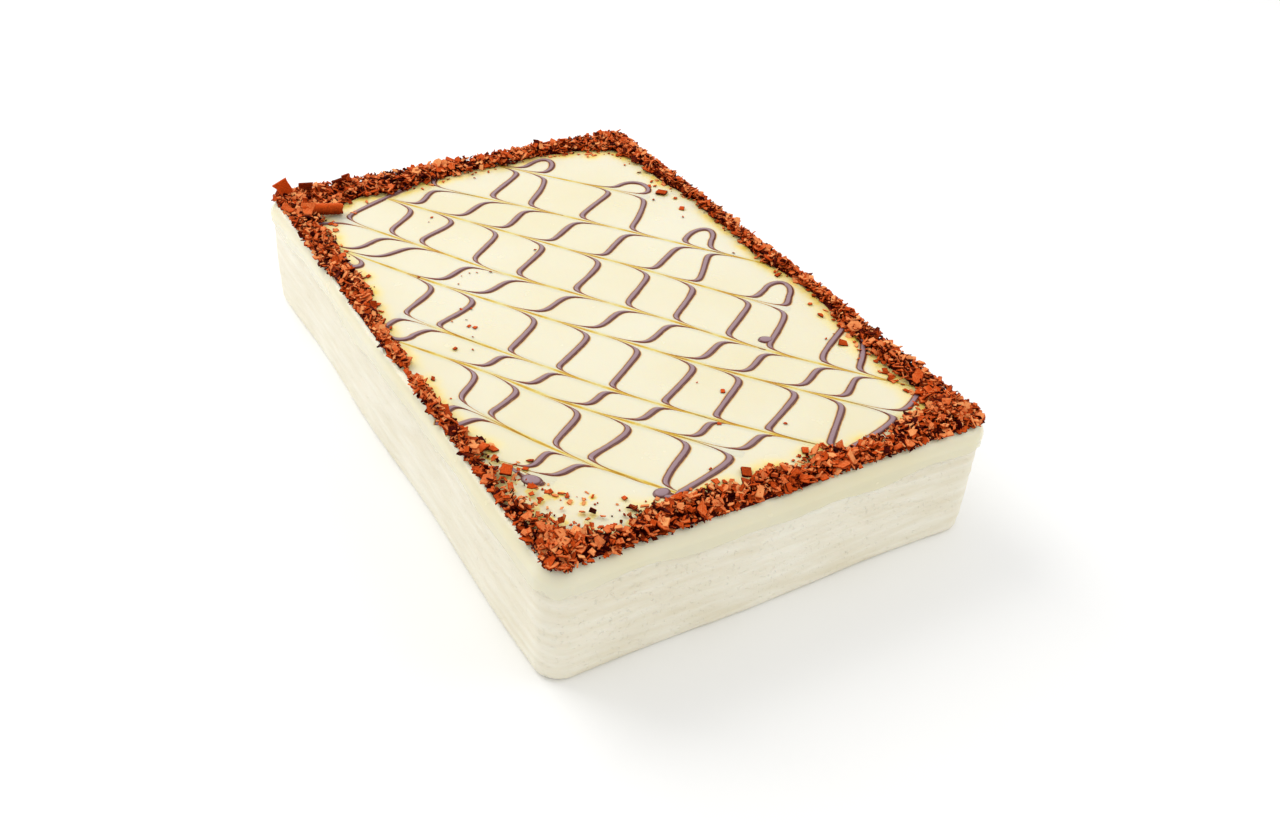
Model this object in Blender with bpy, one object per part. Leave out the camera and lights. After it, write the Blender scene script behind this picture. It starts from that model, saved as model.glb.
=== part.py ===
# Uncut sheet cake, coated in cream and topped with poured icing. Feathered chocolate
# lines cross the icing, and a border of chocolate flakes runs along its edge.
# Frame: +Z up, +Y along the cake, origin at the centre of its underside. Metres.

import math
import random

import bmesh
import bpy
from mathutils import Matrix, Vector

MM = 0.001

# Cake and coating
LENGTH = 0.452
WIDTH = 0.300
ICING_LEVEL = 0.079
CORNER_RADIUS = 0.018
COAT_INSET = 0.0024
COAT_BULGE = 0.0008
SIDE_BOW = 0.0009
LONG_BOW = 0.19
SHORT_BOW = 0.16
FOOT_ROUND = 0.003
SHOULDER = 0.0065
GAP = 0.0003
ICING_THICKNESS = 0.0042
LIP_THICKNESS = 0.0011
LIP_DROP = 0.0045
LIP_WAVE = 0.0034
COAT_TOP = ICING_LEVEL - ICING_THICKNESS - GAP

# Every ring of the cake has the same number of points, so that rings can be bridged
CORNER_STEPS = 6
LONG_STEPS = 20
SHORT_STEPS = 13

# Heap of flakes. Its outer edge runs at an even distance from the cake's sides. Its inner
# edge is a rounded rectangle, with radii for the south-east, north-east, north-west and
# south-west corners, drawn in or out to the (place along the side, distance from it)
# points of each side in millimetres. A heap narrower than the full one is lower as well.
HEAP_OUTER = 0.0055
HEAP_SIDE = 0.018
HEAP_END = 0.028
HEAP_CORNERS = (0.018, 0.026, 0.024, 0.024)
HEAP_WEST = (
    (-175, 29), (-140, 25), (-110, 16), (-90, 12), (-42, 12), (-31, 8), (-20, 12),
    (10, 13), (50, 18), (90, 23), (110, 20), (150, 24), (175, 27),
)
HEAP_EAST = (
    (-180, 25), (-150, 25), (-98, 20), (-60, 12), (-40, 12), (0, 19), (30, 16),
    (90, 15), (130, 19), (170, 23),
)
HEAP_SOUTH = (
    (-118, 45), (-104, 39), (-85, 31), (-60, 29), (-32, 27), (-20, 22), (-6, 27),
    (15, 24), (35, 29), (55, 22), (85, 27), (112, 31),
)
HEAP_NORTH = (
    (-118, 47), (-104, 43), (-94, 36), (-68, 38), (-40, 32), (0, 26), (35, 25),
    (60, 21), (90, 24), (112, 28),
)
HEAP_EDGE = 0.0008
HEAP_CREST = 0.0032
CREST_AT = 0.42
FULL_HEAP = 0.009

# Flakes and shavings
FLAKE_SEED = 41
FLAKE_THICKNESS = 0.0010
FLAKE_PITCH = 0.0130
FLAKE_LENGTHS = (0.0095, 0.0165)
FLAKE_MARGIN = 0.0016
LOOSE_FLAKES = 12
SHARD_WIDTH = 0.012
SHARD_HEIGHT = 0.021
SHARD_THICKNESS = 0.0012
SHARD_BOW = 0.0022
SHARD_STEPS = 4
SHARD_LEAN = math.radians(-20)
SHARD_TIP = math.radians(12)
SHARD_HEADING = math.radians(-25)
SHARD_PLACE = (-0.1345, 0.2085)
CURL_LENGTH = 0.030
CURL_RADIUS = 0.0041
CURL_SHEET = 0.0013
CURL_TURNS = 1.35
CURL_STEPS = 28
CURL_PLACE = (-0.1220, 0.1775)
CURL_HEADING = math.radians(-9)
CURL_TILT = math.radians(5)
CURL_ON_CREST = 0.0126

# Chocolate lines, piped as one zigzag that runs across the cake at this angle. The tables
# below are in millimetres, along and across that direction from the cake's centre.
PIPING_ANGLE = math.radians(39)
LINE_WIDTH = 3.9 * MM
LINE_HEIGHT = 0.8 * MM
LINE_ROOT = 1.5 * MM
PATH_STEP = 1.5 * MM
LINE_TOLERANCE = 0.8 * MM
LINE_UNDER_HEAP = 3 * MM
# Each stroke: points (along, across) on its centre line, from left to right
STROKES = (
    ((5, 212), (14, 205), (25, 200), (38, 196.5), (52, 193), (80, 185)),
    ((-22, 168.5), (-5, 166), (20, 163), (45, 161.7), (64, 162.5), (85, 166.5), (97, 172)),
    ((-24, 152), (-10, 146), (8, 139.5), (22, 136.3), (48, 128.7), (65, 126.5),
     (125, 122.3), (160, 120.5)),
    ((-90, 103), (-45, 98), (10, 93.3), (44, 92.5), (70, 91.5), (95, 92.7), (125, 94.5),
     (147, 99), (160, 102.5)),
    ((-91, 83), (-72, 75), (-50, 68), (-25, 63.5), (12, 58), (62, 54.5), (110, 51.2),
     (160, 44.5)),
    ((-157, 28), (-100, 26.3), (-75, 22.5), (-55, 21.3), (-25, 20), (10, 15), (35, 12.8),
     (65, 13.7), (115, 12.8), (160, 20.5)),
    ((-165, 18), (-142, 5), (-125, 0), (-105, -6.3), (-80, -11.7), (-50, -15.5),
     (-20, -19.7), (10, -22.5), (35, -23.3), (60, -24.3), (108, -28.7)),
    ((-184, -37.5), (-145, -40), (-86, -47.5), (-50, -50.3), (-5, -55.7), (30, -57.2),
     (60, -55.5), (112, -46)),
    ((-184, -51), (-157, -62), (-130, -72.5), (-88, -81.7), (-50, -87.5), (0, -93.7),
     (45, -97.3), (62, -100)),
    ((-166, -107), (-145, -107), (-105, -112), (-60, -116), (-20, -120.3), (30, -122),
     (62, -117.5)),
    ((-166, -117), (-135, -131), (-103, -141.5), (-50, -151.8), (-12, -156.5), (5, -156),
     (40, -160.5)),
    ((-95, -181.5), (-50, -180.2), (0, -179.7), (15, -178.5), (30, -175)),
    ((-85, -194), (-70, -202), (-55, -208.5), (-35, -215.5), (-5, -221)),
)
# How far each turn back swings out beyond the strokes that it joins, right and left in turn
TURNS = (22, 12, 17.5, 9.5, 13.5, 10, 16, 6, 14.5, 5, 12, 9)
TURN_STEPS = 7
# Each knife drag: which way the knife went, the part of its line where it touches the
# piping, how far from it the piping follows on its left and on its right, and points
# (across, along) on its line
DRAGS = (
    (1, -56, -8, 1.3, 1.3, ((-50, -184), (-8, -181))),
    (-1, -109, 34, 1.0, 0.9,
     ((-100, -164.5), (-65, -162), (-40, -158.5), (-10, -152), (32, -141))),
    (1, -150, 52, 1.8, 1.4,
     ((-145, -118.5), (-55, -117), (-22, -115), (0, -111.5), (20, -108), (80, -102))),
    (-1, -188, 104, 0.95, 0.7,
     ((-185, -91), (-110, -93.7), (-70, -93), (-35, -90.5), (0, -86.5), (60, -79.5),
      (120, -71.5))),
    (1, -222, 190, 1.7, 1.8,
     ((-205, -41.5), (-130, -43), (-90, -42.5), (-45, -40), (40, -34.5), (110, -28),
      (190, -16.5))),
    (-1, -205, 214, 1.6, 1.1,
     ((-200, -9), (-130, -9.5), (-95, -7.5), (-50, -3), (75, 3), (115, 8.5), (210, 20.5))),
    (1, -150, 175, 1.6, 1.2,
     ((-145, 44), (-85, 46), (-5, 51.3), (30, 52.5), (95, 56.5), (185, 62))),
    (-1, -80, 175, 1.5, 1.0, ((-75, 97), (70, 97.5), (110, 96.7), (170, 94))),
    (1, 12, 130, 1.2, 1.3, ((20, 154.5), (65, 153), (130, 151))),
)
DRAG_REACH = 40 * MM
DRAG_WIDENING = 650 * MM
DRAG_SHARPNESS = 0.75
DRAG_CLEAR = 2.4 * MM
# Drops where the piping starts and ends, and one stray drop
DROPS = ((-188.5, -41.5, 5.2), (-169.5, -108.5, 5.0), (2.0, -117.5, 4.0))
DROP_STEPS = 10
DROP_FLATNESS = 0.8

CREAM = (0.86, 0.80, 0.62)
ICING = (0.90, 0.86, 0.66)
CHOCOLATE = (0.26, 0.075, 0.035)
DARK_LINE = (0.16, 0.075, 0.075)


def clear_scene():
    for thing in list(bpy.data.objects):
        bpy.data.objects.remove(thing, do_unlink=True)


def make_material(name, colour, roughness):
    material = bpy.data.materials.new(name)
    material.use_nodes = True
    shader = material.node_tree.nodes["Principled BSDF"]
    shader.inputs["Base Color"].default_value = (*colour, 1.0)
    shader.inputs["Roughness"].default_value = roughness
    shader.inputs["Metallic"].default_value = 0.0
    return material


def object_from(name, form, materials, home):
    bmesh.ops.recalc_face_normals(form, faces=form.faces)
    mesh = bpy.data.meshes.new(name)
    form.to_mesh(mesh)
    form.free()
    for material in materials:
        mesh.materials.append(material)
    made = bpy.data.objects.new(name, mesh)
    home.objects.link(made)
    return made


# ---- Curves through given points ----

def curve_slope(points, index):
    """Slope from one neighbour to the other; at an end, to the only one."""
    before, after = points[max(index - 1, 0)], points[min(index + 1, len(points) - 1)]
    return (after[1] - before[1]) / (after[0] - before[0])


def curve_at(points, place):
    """Value and slope of a smooth curve through (place, value) points, straight beyond them."""
    passed = sum(place > point[0] for point in points)
    index = max(0, min(len(points) - 2, passed - 1))
    (start, low), (end, high) = points[index], points[index + 1]
    leave, arrive = curve_slope(points, index), curve_slope(points, index + 1)
    if place <= start:
        return low + leave * (place - start), leave
    if place >= end:
        return high + arrive * (place - end), arrive
    span, gap = end - start, high - low
    share = (place - start) / span
    first = span * leave
    second = 3 * gap - span * (2 * leave + arrive)
    third = span * (leave + arrive) - 2 * gap
    value = low + share * (first + share * (second + share * third))
    return value, (first + share * (2 * second + 3 * share * third)) / span


# ---- Outlines ----

def corner_arc(x, y, radius, start):
    """A quarter turn of points, counter-clockwise from this angle in degrees."""
    angles = [math.radians(start + 90 * step / CORNER_STEPS) for step in range(CORNER_STEPS + 1)]
    return [(x + radius * math.cos(angle), y + radius * math.sin(angle)) for angle in angles]


def rounded_outline(west, east, south, north, radii):
    """Points of a rounded rectangle, counter-clockwise, always the same number."""
    south_east, north_east, north_west, south_west = radii
    corners = (
        corner_arc(east - south_east, south + south_east, south_east, -90),
        corner_arc(east - north_east, north - north_east, north_east, 0),
        corner_arc(west + north_west, north - north_west, north_west, 90),
        corner_arc(west + south_west, south + south_west, south_west, 180),
    )
    points = []
    for index, corner in enumerate(corners):
        near, far = corner[-1], corners[(index + 1) % 4][0]
        steps = (LONG_STEPS, SHORT_STEPS)[index % 2]
        points += corner
        points += [tuple(a + (b - a) * step / steps for a, b in zip(near, far))
                   for step in range(1, steps)]
    return points


def cake_outline(inset):
    radius = max(CORNER_RADIUS - inset, 0.004)
    return rounded_outline(
        inset - WIDTH / 2, WIDTH / 2 - inset, inset - LENGTH / 2, LENGTH / 2 - inset, [radius] * 4
    )


def hand_made(x, y):
    """Bows the sides in and out by up to a millimetre, as a spread coating does."""
    bow_x = SIDE_BOW * (math.sin(2 * math.pi * y / LONG_BOW + 0.6) - 0.33)
    bow_y = SIDE_BOW * (math.sin(2 * math.pi * x / SHORT_BOW + 2.1) - 0.33)
    return x + bow_x * x / (WIDTH / 2), y + bow_y * y / (LENGTH / 2)


def wave(turn, *parts):
    """Sum of sine waves round the outline, from -1 to 1. A part is (count, phase)."""
    return sum(math.sin(2 * math.pi * count * turn + phase) for count, phase in parts) / len(parts)


def heap_inset(points, place):
    """Distance of the heap's inner edge from a side, level beyond that side's points."""
    held = min(max(place / MM, points[0][0]), points[-1][0])
    return curve_at(points, held)[0] * MM


def bare_half(x, y):
    """Half width and half length of the bare icing, seen from its centre past this place."""
    side = heap_inset(HEAP_WEST if x < 0 else HEAP_EAST, y)
    end = heap_inset(HEAP_SOUTH if y < 0 else HEAP_NORTH, x)
    return WIDTH / 2 - side, LENGTH / 2 - end


def heap_inner():
    """Inner edge of the heap of flakes, uneven as it was strewn."""
    even_x, even_y = WIDTH / 2 - HEAP_SIDE, LENGTH / 2 - HEAP_END
    edge = []
    for x, y in rounded_outline(-even_x, even_x, -even_y, even_y, HEAP_CORNERS):
        half_x, half_y = bare_half(x, y)
        edge.append((x * half_x / even_x, y * half_y / even_y))
    return edge


def heap_height(share, width):
    """Height of a heap of this width over the icing, at this share of the way inwards."""
    full = min(1.0, width / FULL_HEAP)
    if share < CREST_AT:
        return HEAP_EDGE + (full * HEAP_CREST - HEAP_EDGE) * share / CREST_AT
    return full * HEAP_CREST * max(0.0, 1 - share) / (1 - CREST_AT)


def between(outer, inner, share):
    return [tuple(a + (b - a) * share for a, b in zip(p, q)) for p, q in zip(outer, inner)]


# ---- Cake body and icing shell ----

def stack_rings(rings):
    """Closed solid from rings of (x, y, z) points, each with the same number of points."""
    form = bmesh.new()
    loops = [[form.verts.new(point) for point in ring] for ring in rings]
    count = len(loops[0])
    for lower, upper in zip(loops, loops[1:]):
        for index in range(count):
            after = (index + 1) % count
            form.faces.new((lower[index], lower[after], upper[after], upper[index]))
    form.faces.new(reversed(loops[0]))
    form.faces.new(loops[-1])
    return form


def level_ring(points, height):
    return [(*hand_made(x, y), height) for x, y in points]


def arc_section(radius, degrees):
    """Inset and height of a point on the shoulder's arc; 0 degrees is its top."""
    angle = math.radians(degrees)
    inset = COAT_INSET + SHOULDER - radius * math.sin(angle)
    return inset, COAT_TOP - SHOULDER + radius * math.cos(angle)


def build_body(material, home):
    section = [
        (COAT_INSET + FOOT_ROUND, 0.0),
        (COAT_INSET + 0.3 * FOOT_ROUND, 0.3 * FOOT_ROUND),
        (COAT_INSET, FOOT_ROUND),
        (COAT_INSET - COAT_BULGE, 0.4 * COAT_TOP),
    ]
    section += [arc_section(SHOULDER, degrees) for degrees in (90, 60, 30, 0)]
    rings = [level_ring(cake_outline(inset), height) for inset, height in section]
    return object_from("cake_body", stack_rings(rings), [material], home)


def lip_ring(inset, height):
    """Ring at the foot of the icing's lip, which ends lower in some places."""
    points = cake_outline(inset)
    ring = []
    for index, (x, y) in enumerate(points):
        drop = LIP_WAVE * wave(index / len(points), (7, 0.8), (16, 2.2), (29, 5.1))
        ring.append((*hand_made(x, y), height + drop))
    return ring


def build_icing_shell(material_list, home):
    foot = COAT_TOP - SHOULDER - LIP_DROP
    inner_radius = SHOULDER + GAP
    side_inset = COAT_INSET - COAT_BULGE - GAP
    rings = []
    for degrees in (0, 30, 60, 90):
        inset, height = arc_section(inner_radius, degrees)
        rings.append(level_ring(cake_outline(inset), height))
    rings.append(lip_ring(side_inset, foot))
    rings.append(lip_ring(side_inset - 0.6 * LIP_THICKNESS, foot + 0.0004))
    for degrees in (88, 62, 36):
        swell = (ICING_THICKNESS - LIP_THICKNESS) * math.cos(math.radians(degrees))
        inset, height = arc_section(inner_radius + LIP_THICKNESS + swell, degrees)
        rings.append(level_ring(cake_outline(inset), height))
    outer, inner = cake_outline(HEAP_OUTER), heap_inner()
    rings.append(level_ring(outer, ICING_LEVEL + HEAP_EDGE))
    crest = between(outer, inner, CREST_AT)
    rises = [heap_height(CREST_AT, math.dist(*edges)) for edges in zip(outer, inner)]
    rings.append([(*hand_made(*point), ICING_LEVEL + rise) for point, rise in zip(crest, rises)])
    rings.append(level_ring(inner, ICING_LEVEL))
    return object_from("icing", stack_rings(rings), material_list, home)


# ---- Feathered chocolate lines ----

def knife_at(drag, across):
    """Where along the piping the knife's line is, and its lean there."""
    along, lean = curve_at(drag[5], across / MM)
    return along * MM, lean


def nearest_knife(along, across):
    """Distance to the nearest drag whose stretch takes in this point."""
    spans = [abs(along - knife_at(drag, across)[0]) for drag in DRAGS
             if drag[1] * MM <= across <= drag[2] * MM]
    return min(spans, default=1.0)


def feathered(along, across):
    """Moves a point of the piping as the knife drew it along its own line."""
    moved_along, moved_across = along, across
    for drag in DRAGS:
        if not drag[1] * MM <= across <= drag[2] * MM:
            continue
        knife, lean = knife_at(drag, across)
        spread = drag[3 if along < knife else 4] * MM * (1 + across / DRAG_WIDENING)
        pull = math.exp(-(abs(along - knife) / spread) ** DRAG_SHARPNESS)
        moved_across += drag[0] * DRAG_REACH * pull
        moved_along += drag[0] * DRAG_REACH * pull * lean
    return moved_along, moved_across


def on_cake(along, across):
    cosine, sine = math.cos(PIPING_ANGLE), math.sin(PIPING_ANGLE)
    return along * cosine - across * sine, along * sine + across * cosine


def turn_points(start, end, bulge):
    """Half an ellipse that joins two strokes where the piping turns back."""
    points = []
    for step in range(1, TURN_STEPS):
        angle = math.pi * step / TURN_STEPS
        share = (1 - math.cos(angle)) / 2
        along = start[0] + (end[0] - start[0]) * share + bulge * math.sin(angle)
        points.append((along, start[1] + (end[1] - start[1]) * share))
    return points


def stroke_points(stroke):
    first, last = stroke[0][0] * MM, stroke[-1][0] * MM
    steps = int((last - first) / PATH_STEP)
    alongs = [first + (last - first) * step / steps for step in range(steps + 1)]
    return [(along, curve_at(stroke, along / MM)[0] * MM) for along in alongs]


def piping_path():
    """Centre line of the zigzag before the knife, as one row of points."""
    path = stroke_points(STROKES[0])
    for index, (turn, stroke) in enumerate(zip(TURNS, STROKES[1:])):
        turns_right = index % 2 == 0
        row = stroke_points(stroke)[::-1 if turns_right else 1]
        path += turn_points(path[-1], row[0], turn * MM if turns_right else -turn * MM)
        path += row
    return path


def on_bare_icing(x, y, margin):
    """True on the bare icing, and up to margin under the heap of flakes."""
    half_x, half_y = bare_half(x, y)
    row = (2, 1) if y > 0 else (3, 0)
    radius = HEAP_CORNERS[row[0] if x < 0 else row[1]]
    near_x = max(abs(x) - half_x - margin + radius, 0.0)
    near_y = max(abs(y) - half_y - margin + radius, 0.0)
    return math.hypot(near_x, near_y) < radius


def side_points(path, index, offset):
    """Point of the line's edge at this place, drawn out by the knife."""
    before, after = path[max(index - 1, 0)], path[min(index + 1, len(path) - 1)]
    direction = Vector((after[0] - before[0], after[1] - before[1])).normalized()
    along = path[index][0] - direction.y * offset
    across = path[index][1] + direction.x * offset
    return on_cake(*feathered(along, across))


def kept_runs(path):
    """Runs of the path that the knife left whole and that lie on the bare icing."""
    runs, run = [], []
    for index, (along, across) in enumerate(path):
        place = on_cake(*feathered(along, across))
        if nearest_knife(along, across) > DRAG_CLEAR and on_bare_icing(*place, LINE_UNDER_HEAP):
            run.append(index)
        elif run:
            runs.append(run)
            run = []
    runs.append(run)
    return [run for run in runs if len(run) > 3]


def thin_out(points, indices):
    """Drops the points that a straight line replaces within the tolerance."""
    if len(indices) < 3:
        return indices
    start, end = Vector(points[indices[0]]), Vector(points[indices[-1]])
    span = (end - start).normalized()
    gaps = [abs(span.cross(Vector(points[i]) - start)) for i in indices[1:-1]]
    widest = max(gaps)
    if widest < LINE_TOLERANCE:
        return [indices[0], indices[-1]]
    split = gaps.index(widest) + 1
    return thin_out(points, indices[:split + 1])[:-1] + thin_out(points, indices[split:])


def build_line(path, run, material, home, number):
    middle = {index: on_cake(*feathered(*path[index])) for index in run}
    kept = thin_out(middle, run)
    left = [side_points(path, index, LINE_WIDTH / 2) for index in kept]
    right = [side_points(path, index, -LINE_WIDTH / 2) for index in kept]
    outline = left + right[::-1]
    form = bmesh.new()
    face = form.faces.new([form.verts.new((x, y, ICING_LEVEL - LINE_ROOT)) for x, y in outline])
    raised = bmesh.ops.extrude_face_region(form, geom=[face])["geom"]
    corners = [part for part in raised if isinstance(part, bmesh.types.BMVert)]
    bmesh.ops.translate(form, vec=(0, 0, LINE_ROOT + LINE_HEIGHT), verts=corners)
    return object_from(f"line_{number:03d}", form, [material], home)


def build_drop(along, across, radius, material, home, number):
    """Low dome of chocolate, a little longer than wide."""
    x, y = on_cake(along * MM, across * MM)
    rings = []
    for share, height in ((1.0, -LINE_ROOT), (1.0, 0.4 * LINE_HEIGHT), (0.6, 1.5 * LINE_HEIGHT)):
        ring = []
        for step in range(DROP_STEPS):
            angle = 2 * math.pi * step / DROP_STEPS
            reach = radius * MM * share
            ring.append((x + reach * math.cos(angle), y + DROP_FLATNESS * reach * math.sin(angle),
                         ICING_LEVEL + height))
        rings.append(ring)
    return object_from(f"drop_{number}", stack_rings(rings), [material], home)


# ---- Flakes ----

def flake_form(draw, length, width):
    """Thin slab with three to five uneven corners."""
    corners = draw.choice((3, 3, 4, 4, 5))
    form = bmesh.new()
    outline = []
    for corner in range(corners):
        angle = 2 * math.pi * (corner + draw.uniform(-0.22, 0.22)) / corners
        reach = draw.uniform(0.42, 0.60)
        outline.append((length * reach * math.cos(angle), width * reach * math.sin(angle)))
    low = [form.verts.new((x, y, -FLAKE_THICKNESS / 2)) for x, y in outline]
    face = form.faces.new(low)
    raised = bmesh.ops.extrude_face_region(form, geom=[face])["geom"]
    top = [part for part in raised if isinstance(part, bmesh.types.BMVert)]
    bmesh.ops.translate(form, vec=(0, 0, FLAKE_THICKNESS), verts=top)
    return form


def keep_inside(form):
    """Moves a flake inwards until all of it lies within the cake's outline."""
    for axis, half in ((0, WIDTH / 2 - FLAKE_MARGIN), (1, LENGTH / 2 - FLAKE_MARGIN)):
        values = [vert.co[axis] for vert in form.verts]
        push = max(0.0, -half - min(values)) - max(0.0, max(values) - half)
        for vert in form.verts:
            vert.co[axis] += push


def near_curl(x, y, reach):
    """True where a flake of this reach could touch the rolled curl."""
    heading = Vector((math.cos(CURL_HEADING), math.sin(CURL_HEADING)))
    offset = Vector((x - CURL_PLACE[0], y - CURL_PLACE[1]))
    beyond = max(abs(offset.dot(heading)) - CURL_LENGTH / 2, 0.0)
    return math.hypot(beyond, heading.cross(offset)) < CURL_RADIUS + reach


def place_flake(draw, x, y, heap, tilt, materials, home, size=1.0):
    length = draw.uniform(*FLAKE_LENGTHS) * size
    width = length * draw.uniform(0.45, 0.75)
    form = flake_form(draw, length, width)
    lift = 0.25 * length * math.sin(tilt)
    turn = Matrix.Rotation(draw.uniform(0, 2 * math.pi), 4, "Z")
    tip = Matrix.Rotation(tilt, 4, "Y") @ Matrix.Rotation(draw.uniform(-0.3, 0.3), 4, "X")
    place = Matrix.Translation((x, y, ICING_LEVEL + heap + lift + 0.0002))
    bmesh.ops.transform(form, matrix=place @ turn @ tip, verts=form.verts)
    keep_inside(form)
    if near_curl(x, y, length / 2 + 0.001):
        form.free()
        return
    object_from(f"flake_{len(home.objects):03d}", form, materials, home)


def ring_place(ring, turn):
    """Point of a ring at this share of its points, 0 to 1."""
    spot = (turn % 1.0) * len(ring)
    index = int(spot)
    first, second = ring[index], ring[(index + 1) % len(ring)]
    return tuple(a + (b - a) * (spot - index) for a, b in zip(first, second))


def even_turns(ring, pitch):
    """Shares of the ring that stand one pitch apart."""
    spans = [math.dist(a, b) for a, b in zip(ring, ring[1:] + ring[:1])]
    turns, travelled, due = [], 0.0, 0.0
    for index, span in enumerate(spans):
        while due <= travelled + span:
            turns.append((index + (due - travelled) / span) / len(ring))
            due += pitch
        travelled += span
    return turns[:-1]


def build_flakes(materials, home):
    draw = random.Random(FLAKE_SEED)
    outer, inner = cake_outline(HEAP_OUTER), heap_inner()
    for turn in even_turns(between(outer, inner, 0.5), FLAKE_PITCH):
        span = math.dist(ring_place(outer, turn), ring_place(inner, turn))
        rows = int(span / FLAKE_PITCH + draw.random())
        for row in range(rows):
            share = (row + draw.uniform(0.0, 1.0)) / rows * 1.04 - 0.04
            spot = turn + draw.uniform(-0.002, 0.002)
            x, y = (a + (b - a) * share
                    for a, b in zip(ring_place(outer, spot), ring_place(inner, spot)))
            tilt = math.radians(draw.choice((8, 16, 26, 38, 55)))
            place_flake(draw, x, y, heap_height(share, span), tilt, materials, home)
    for number in range(LOOSE_FLAKES):
        turn = (number + draw.random()) / LOOSE_FLAKES
        share = draw.uniform(1.06, 1.30)
        x, y = (a + (b - a) * share
                for a, b in zip(ring_place(outer, turn), ring_place(inner, turn)))
        place_flake(draw, x, y, 0.0, math.radians(9), materials, home, size=0.62)


def build_shard(material, home):
    """Large shaving that stands in the heap at the far corner, bent along its height."""
    form = bmesh.new()
    rows = []
    for step in range(SHARD_STEPS + 1):
        share = step / SHARD_STEPS
        half = SHARD_WIDTH / 2 * (0.6 + 0.4 * share)
        bow = SHARD_BOW * math.sin(math.pi * share)
        rows.append([form.verts.new((-half, bow, SHARD_HEIGHT * share * 0.85)),
                     form.verts.new((half, bow, SHARD_HEIGHT * share))])
    for lower, upper in zip(rows, rows[1:]):
        form.faces.new((lower[0], lower[1], upper[1], upper[0]))
    form.normal_update()
    bmesh.ops.solidify(form, geom=form.faces[:], thickness=SHARD_THICKNESS)
    lean = Matrix.Rotation(SHARD_LEAN, 4, "Y") @ Matrix.Rotation(SHARD_TIP, 4, "X")
    face_out = Matrix.Rotation(SHARD_HEADING, 4, "Z")
    place = Matrix.Translation((*SHARD_PLACE, ICING_LEVEL - SHARD_THICKNESS))
    bmesh.ops.transform(form, matrix=place @ face_out @ lean, verts=form.verts)
    keep_inside(form)
    return object_from("shard", form, [material], home)


def build_curl(material, home):
    """Shaving rolled up on itself: a spiral sheet, pushed out along its axis. It lies on the
    crest of the heap near its west end and dips towards the bare icing."""
    outside, inside = [], []
    for step in range(CURL_STEPS + 1):
        share = step / CURL_STEPS
        angle = -2 * math.pi * CURL_TURNS * share
        radius = CURL_RADIUS * (1 - 0.42 * share)
        outside.append((radius * math.cos(angle), radius * math.sin(angle)))
        inside.append(((radius - CURL_SHEET) * math.cos(angle),
                       (radius - CURL_SHEET) * math.sin(angle)))
    outline = outside + inside[::-1]
    form = bmesh.new()
    face = form.faces.new([form.verts.new((-CURL_LENGTH / 2, y, z)) for y, z in outline])
    raised = bmesh.ops.extrude_face_region(form, geom=[face])["geom"]
    far = [part for part in raised if isinstance(part, bmesh.types.BMVert)]
    bmesh.ops.translate(form, vec=(CURL_LENGTH, 0, 0), verts=far)
    made = object_from("chocolate_curl", form, [material], home)
    crest = ICING_LEVEL + HEAP_CREST + GAP
    rest = crest + CURL_RADIUS / math.cos(CURL_TILT) - CURL_ON_CREST * math.tan(CURL_TILT)
    made.location = (*CURL_PLACE, rest)
    made.rotation_euler = (0, CURL_TILT, CURL_HEADING)
    return made


# ---- Joining ----

def islands_of(form):
    """Groups of faces joined by edges. An edge that only touches another body joins nothing."""
    left = set(form.faces)
    groups = []
    while left:
        group, front = [], [left.pop()]
        while front:
            face = front.pop()
            group.append(face)
            joined = [edge for edge in face.edges if len(edge.link_faces) == 2]
            beyond = {other for edge in joined for other in edge.link_faces} & left
            left -= beyond
            front += beyond
        groups.append(group)
    return groups


def fuse(base, toppings):
    """Joins all toppings to the base, fills sealed hollows and drops loose scraps."""
    union = base.modifiers.new("union", "BOOLEAN")
    union.operation = "UNION"
    union.operand_type = "COLLECTION"
    union.collection = toppings
    union.solver = "MANIFOLD"
    graph = bpy.context.evaluated_depsgraph_get()
    fused = bpy.data.meshes.new_from_object(base.evaluated_get(graph), depsgraph=graph)
    base.modifiers.clear()
    for piece in list(toppings.objects):
        bpy.data.objects.remove(piece, do_unlink=True)
    bpy.data.collections.remove(toppings)
    form = bmesh.new()
    form.from_mesh(fused)
    bmesh.ops.triangulate(form, faces=form.faces)
    groups = sorted(islands_of(form), key=len, reverse=True)
    spare = [face for group in groups[1:] for face in group]
    bmesh.ops.delete(form, geom=spare, context="FACES")
    form.to_mesh(fused)
    form.free()
    base.data = fused


def shade(thing, degrees):
    thing.data.shade_smooth()
    thing.data.set_sharp_from_angle(angle=math.radians(degrees))


def main():
    clear_scene()
    home = bpy.context.scene.collection
    toppings = bpy.data.collections.new("toppings")
    home.children.link(toppings)
    cream = make_material("cream", CREAM, 0.55)
    icing = make_material("icing", ICING, 0.28)
    chocolate = make_material("chocolate", CHOCOLATE, 0.5)
    line = make_material("dark_line", DARK_LINE, 0.25)
    body = build_body(cream, home)
    top = build_icing_shell([icing], home)
    path = piping_path()
    for number, run in enumerate(kept_runs(path)):
        build_line(path, run, line, toppings, number)
    for number, drop in enumerate(DROPS):
        build_drop(*drop, line, toppings, number)
    build_flakes([chocolate], toppings)
    build_shard(chocolate, toppings)
    fuse(top, toppings)
    curl = build_curl(chocolate, home)
    shade(body, 40)
    shade(top, 30)
    shade(curl, 35)


main()
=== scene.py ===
import math
import random

import bmesh
import bpy
from mathutils import Matrix, Vector, kdtree, noise


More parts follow.
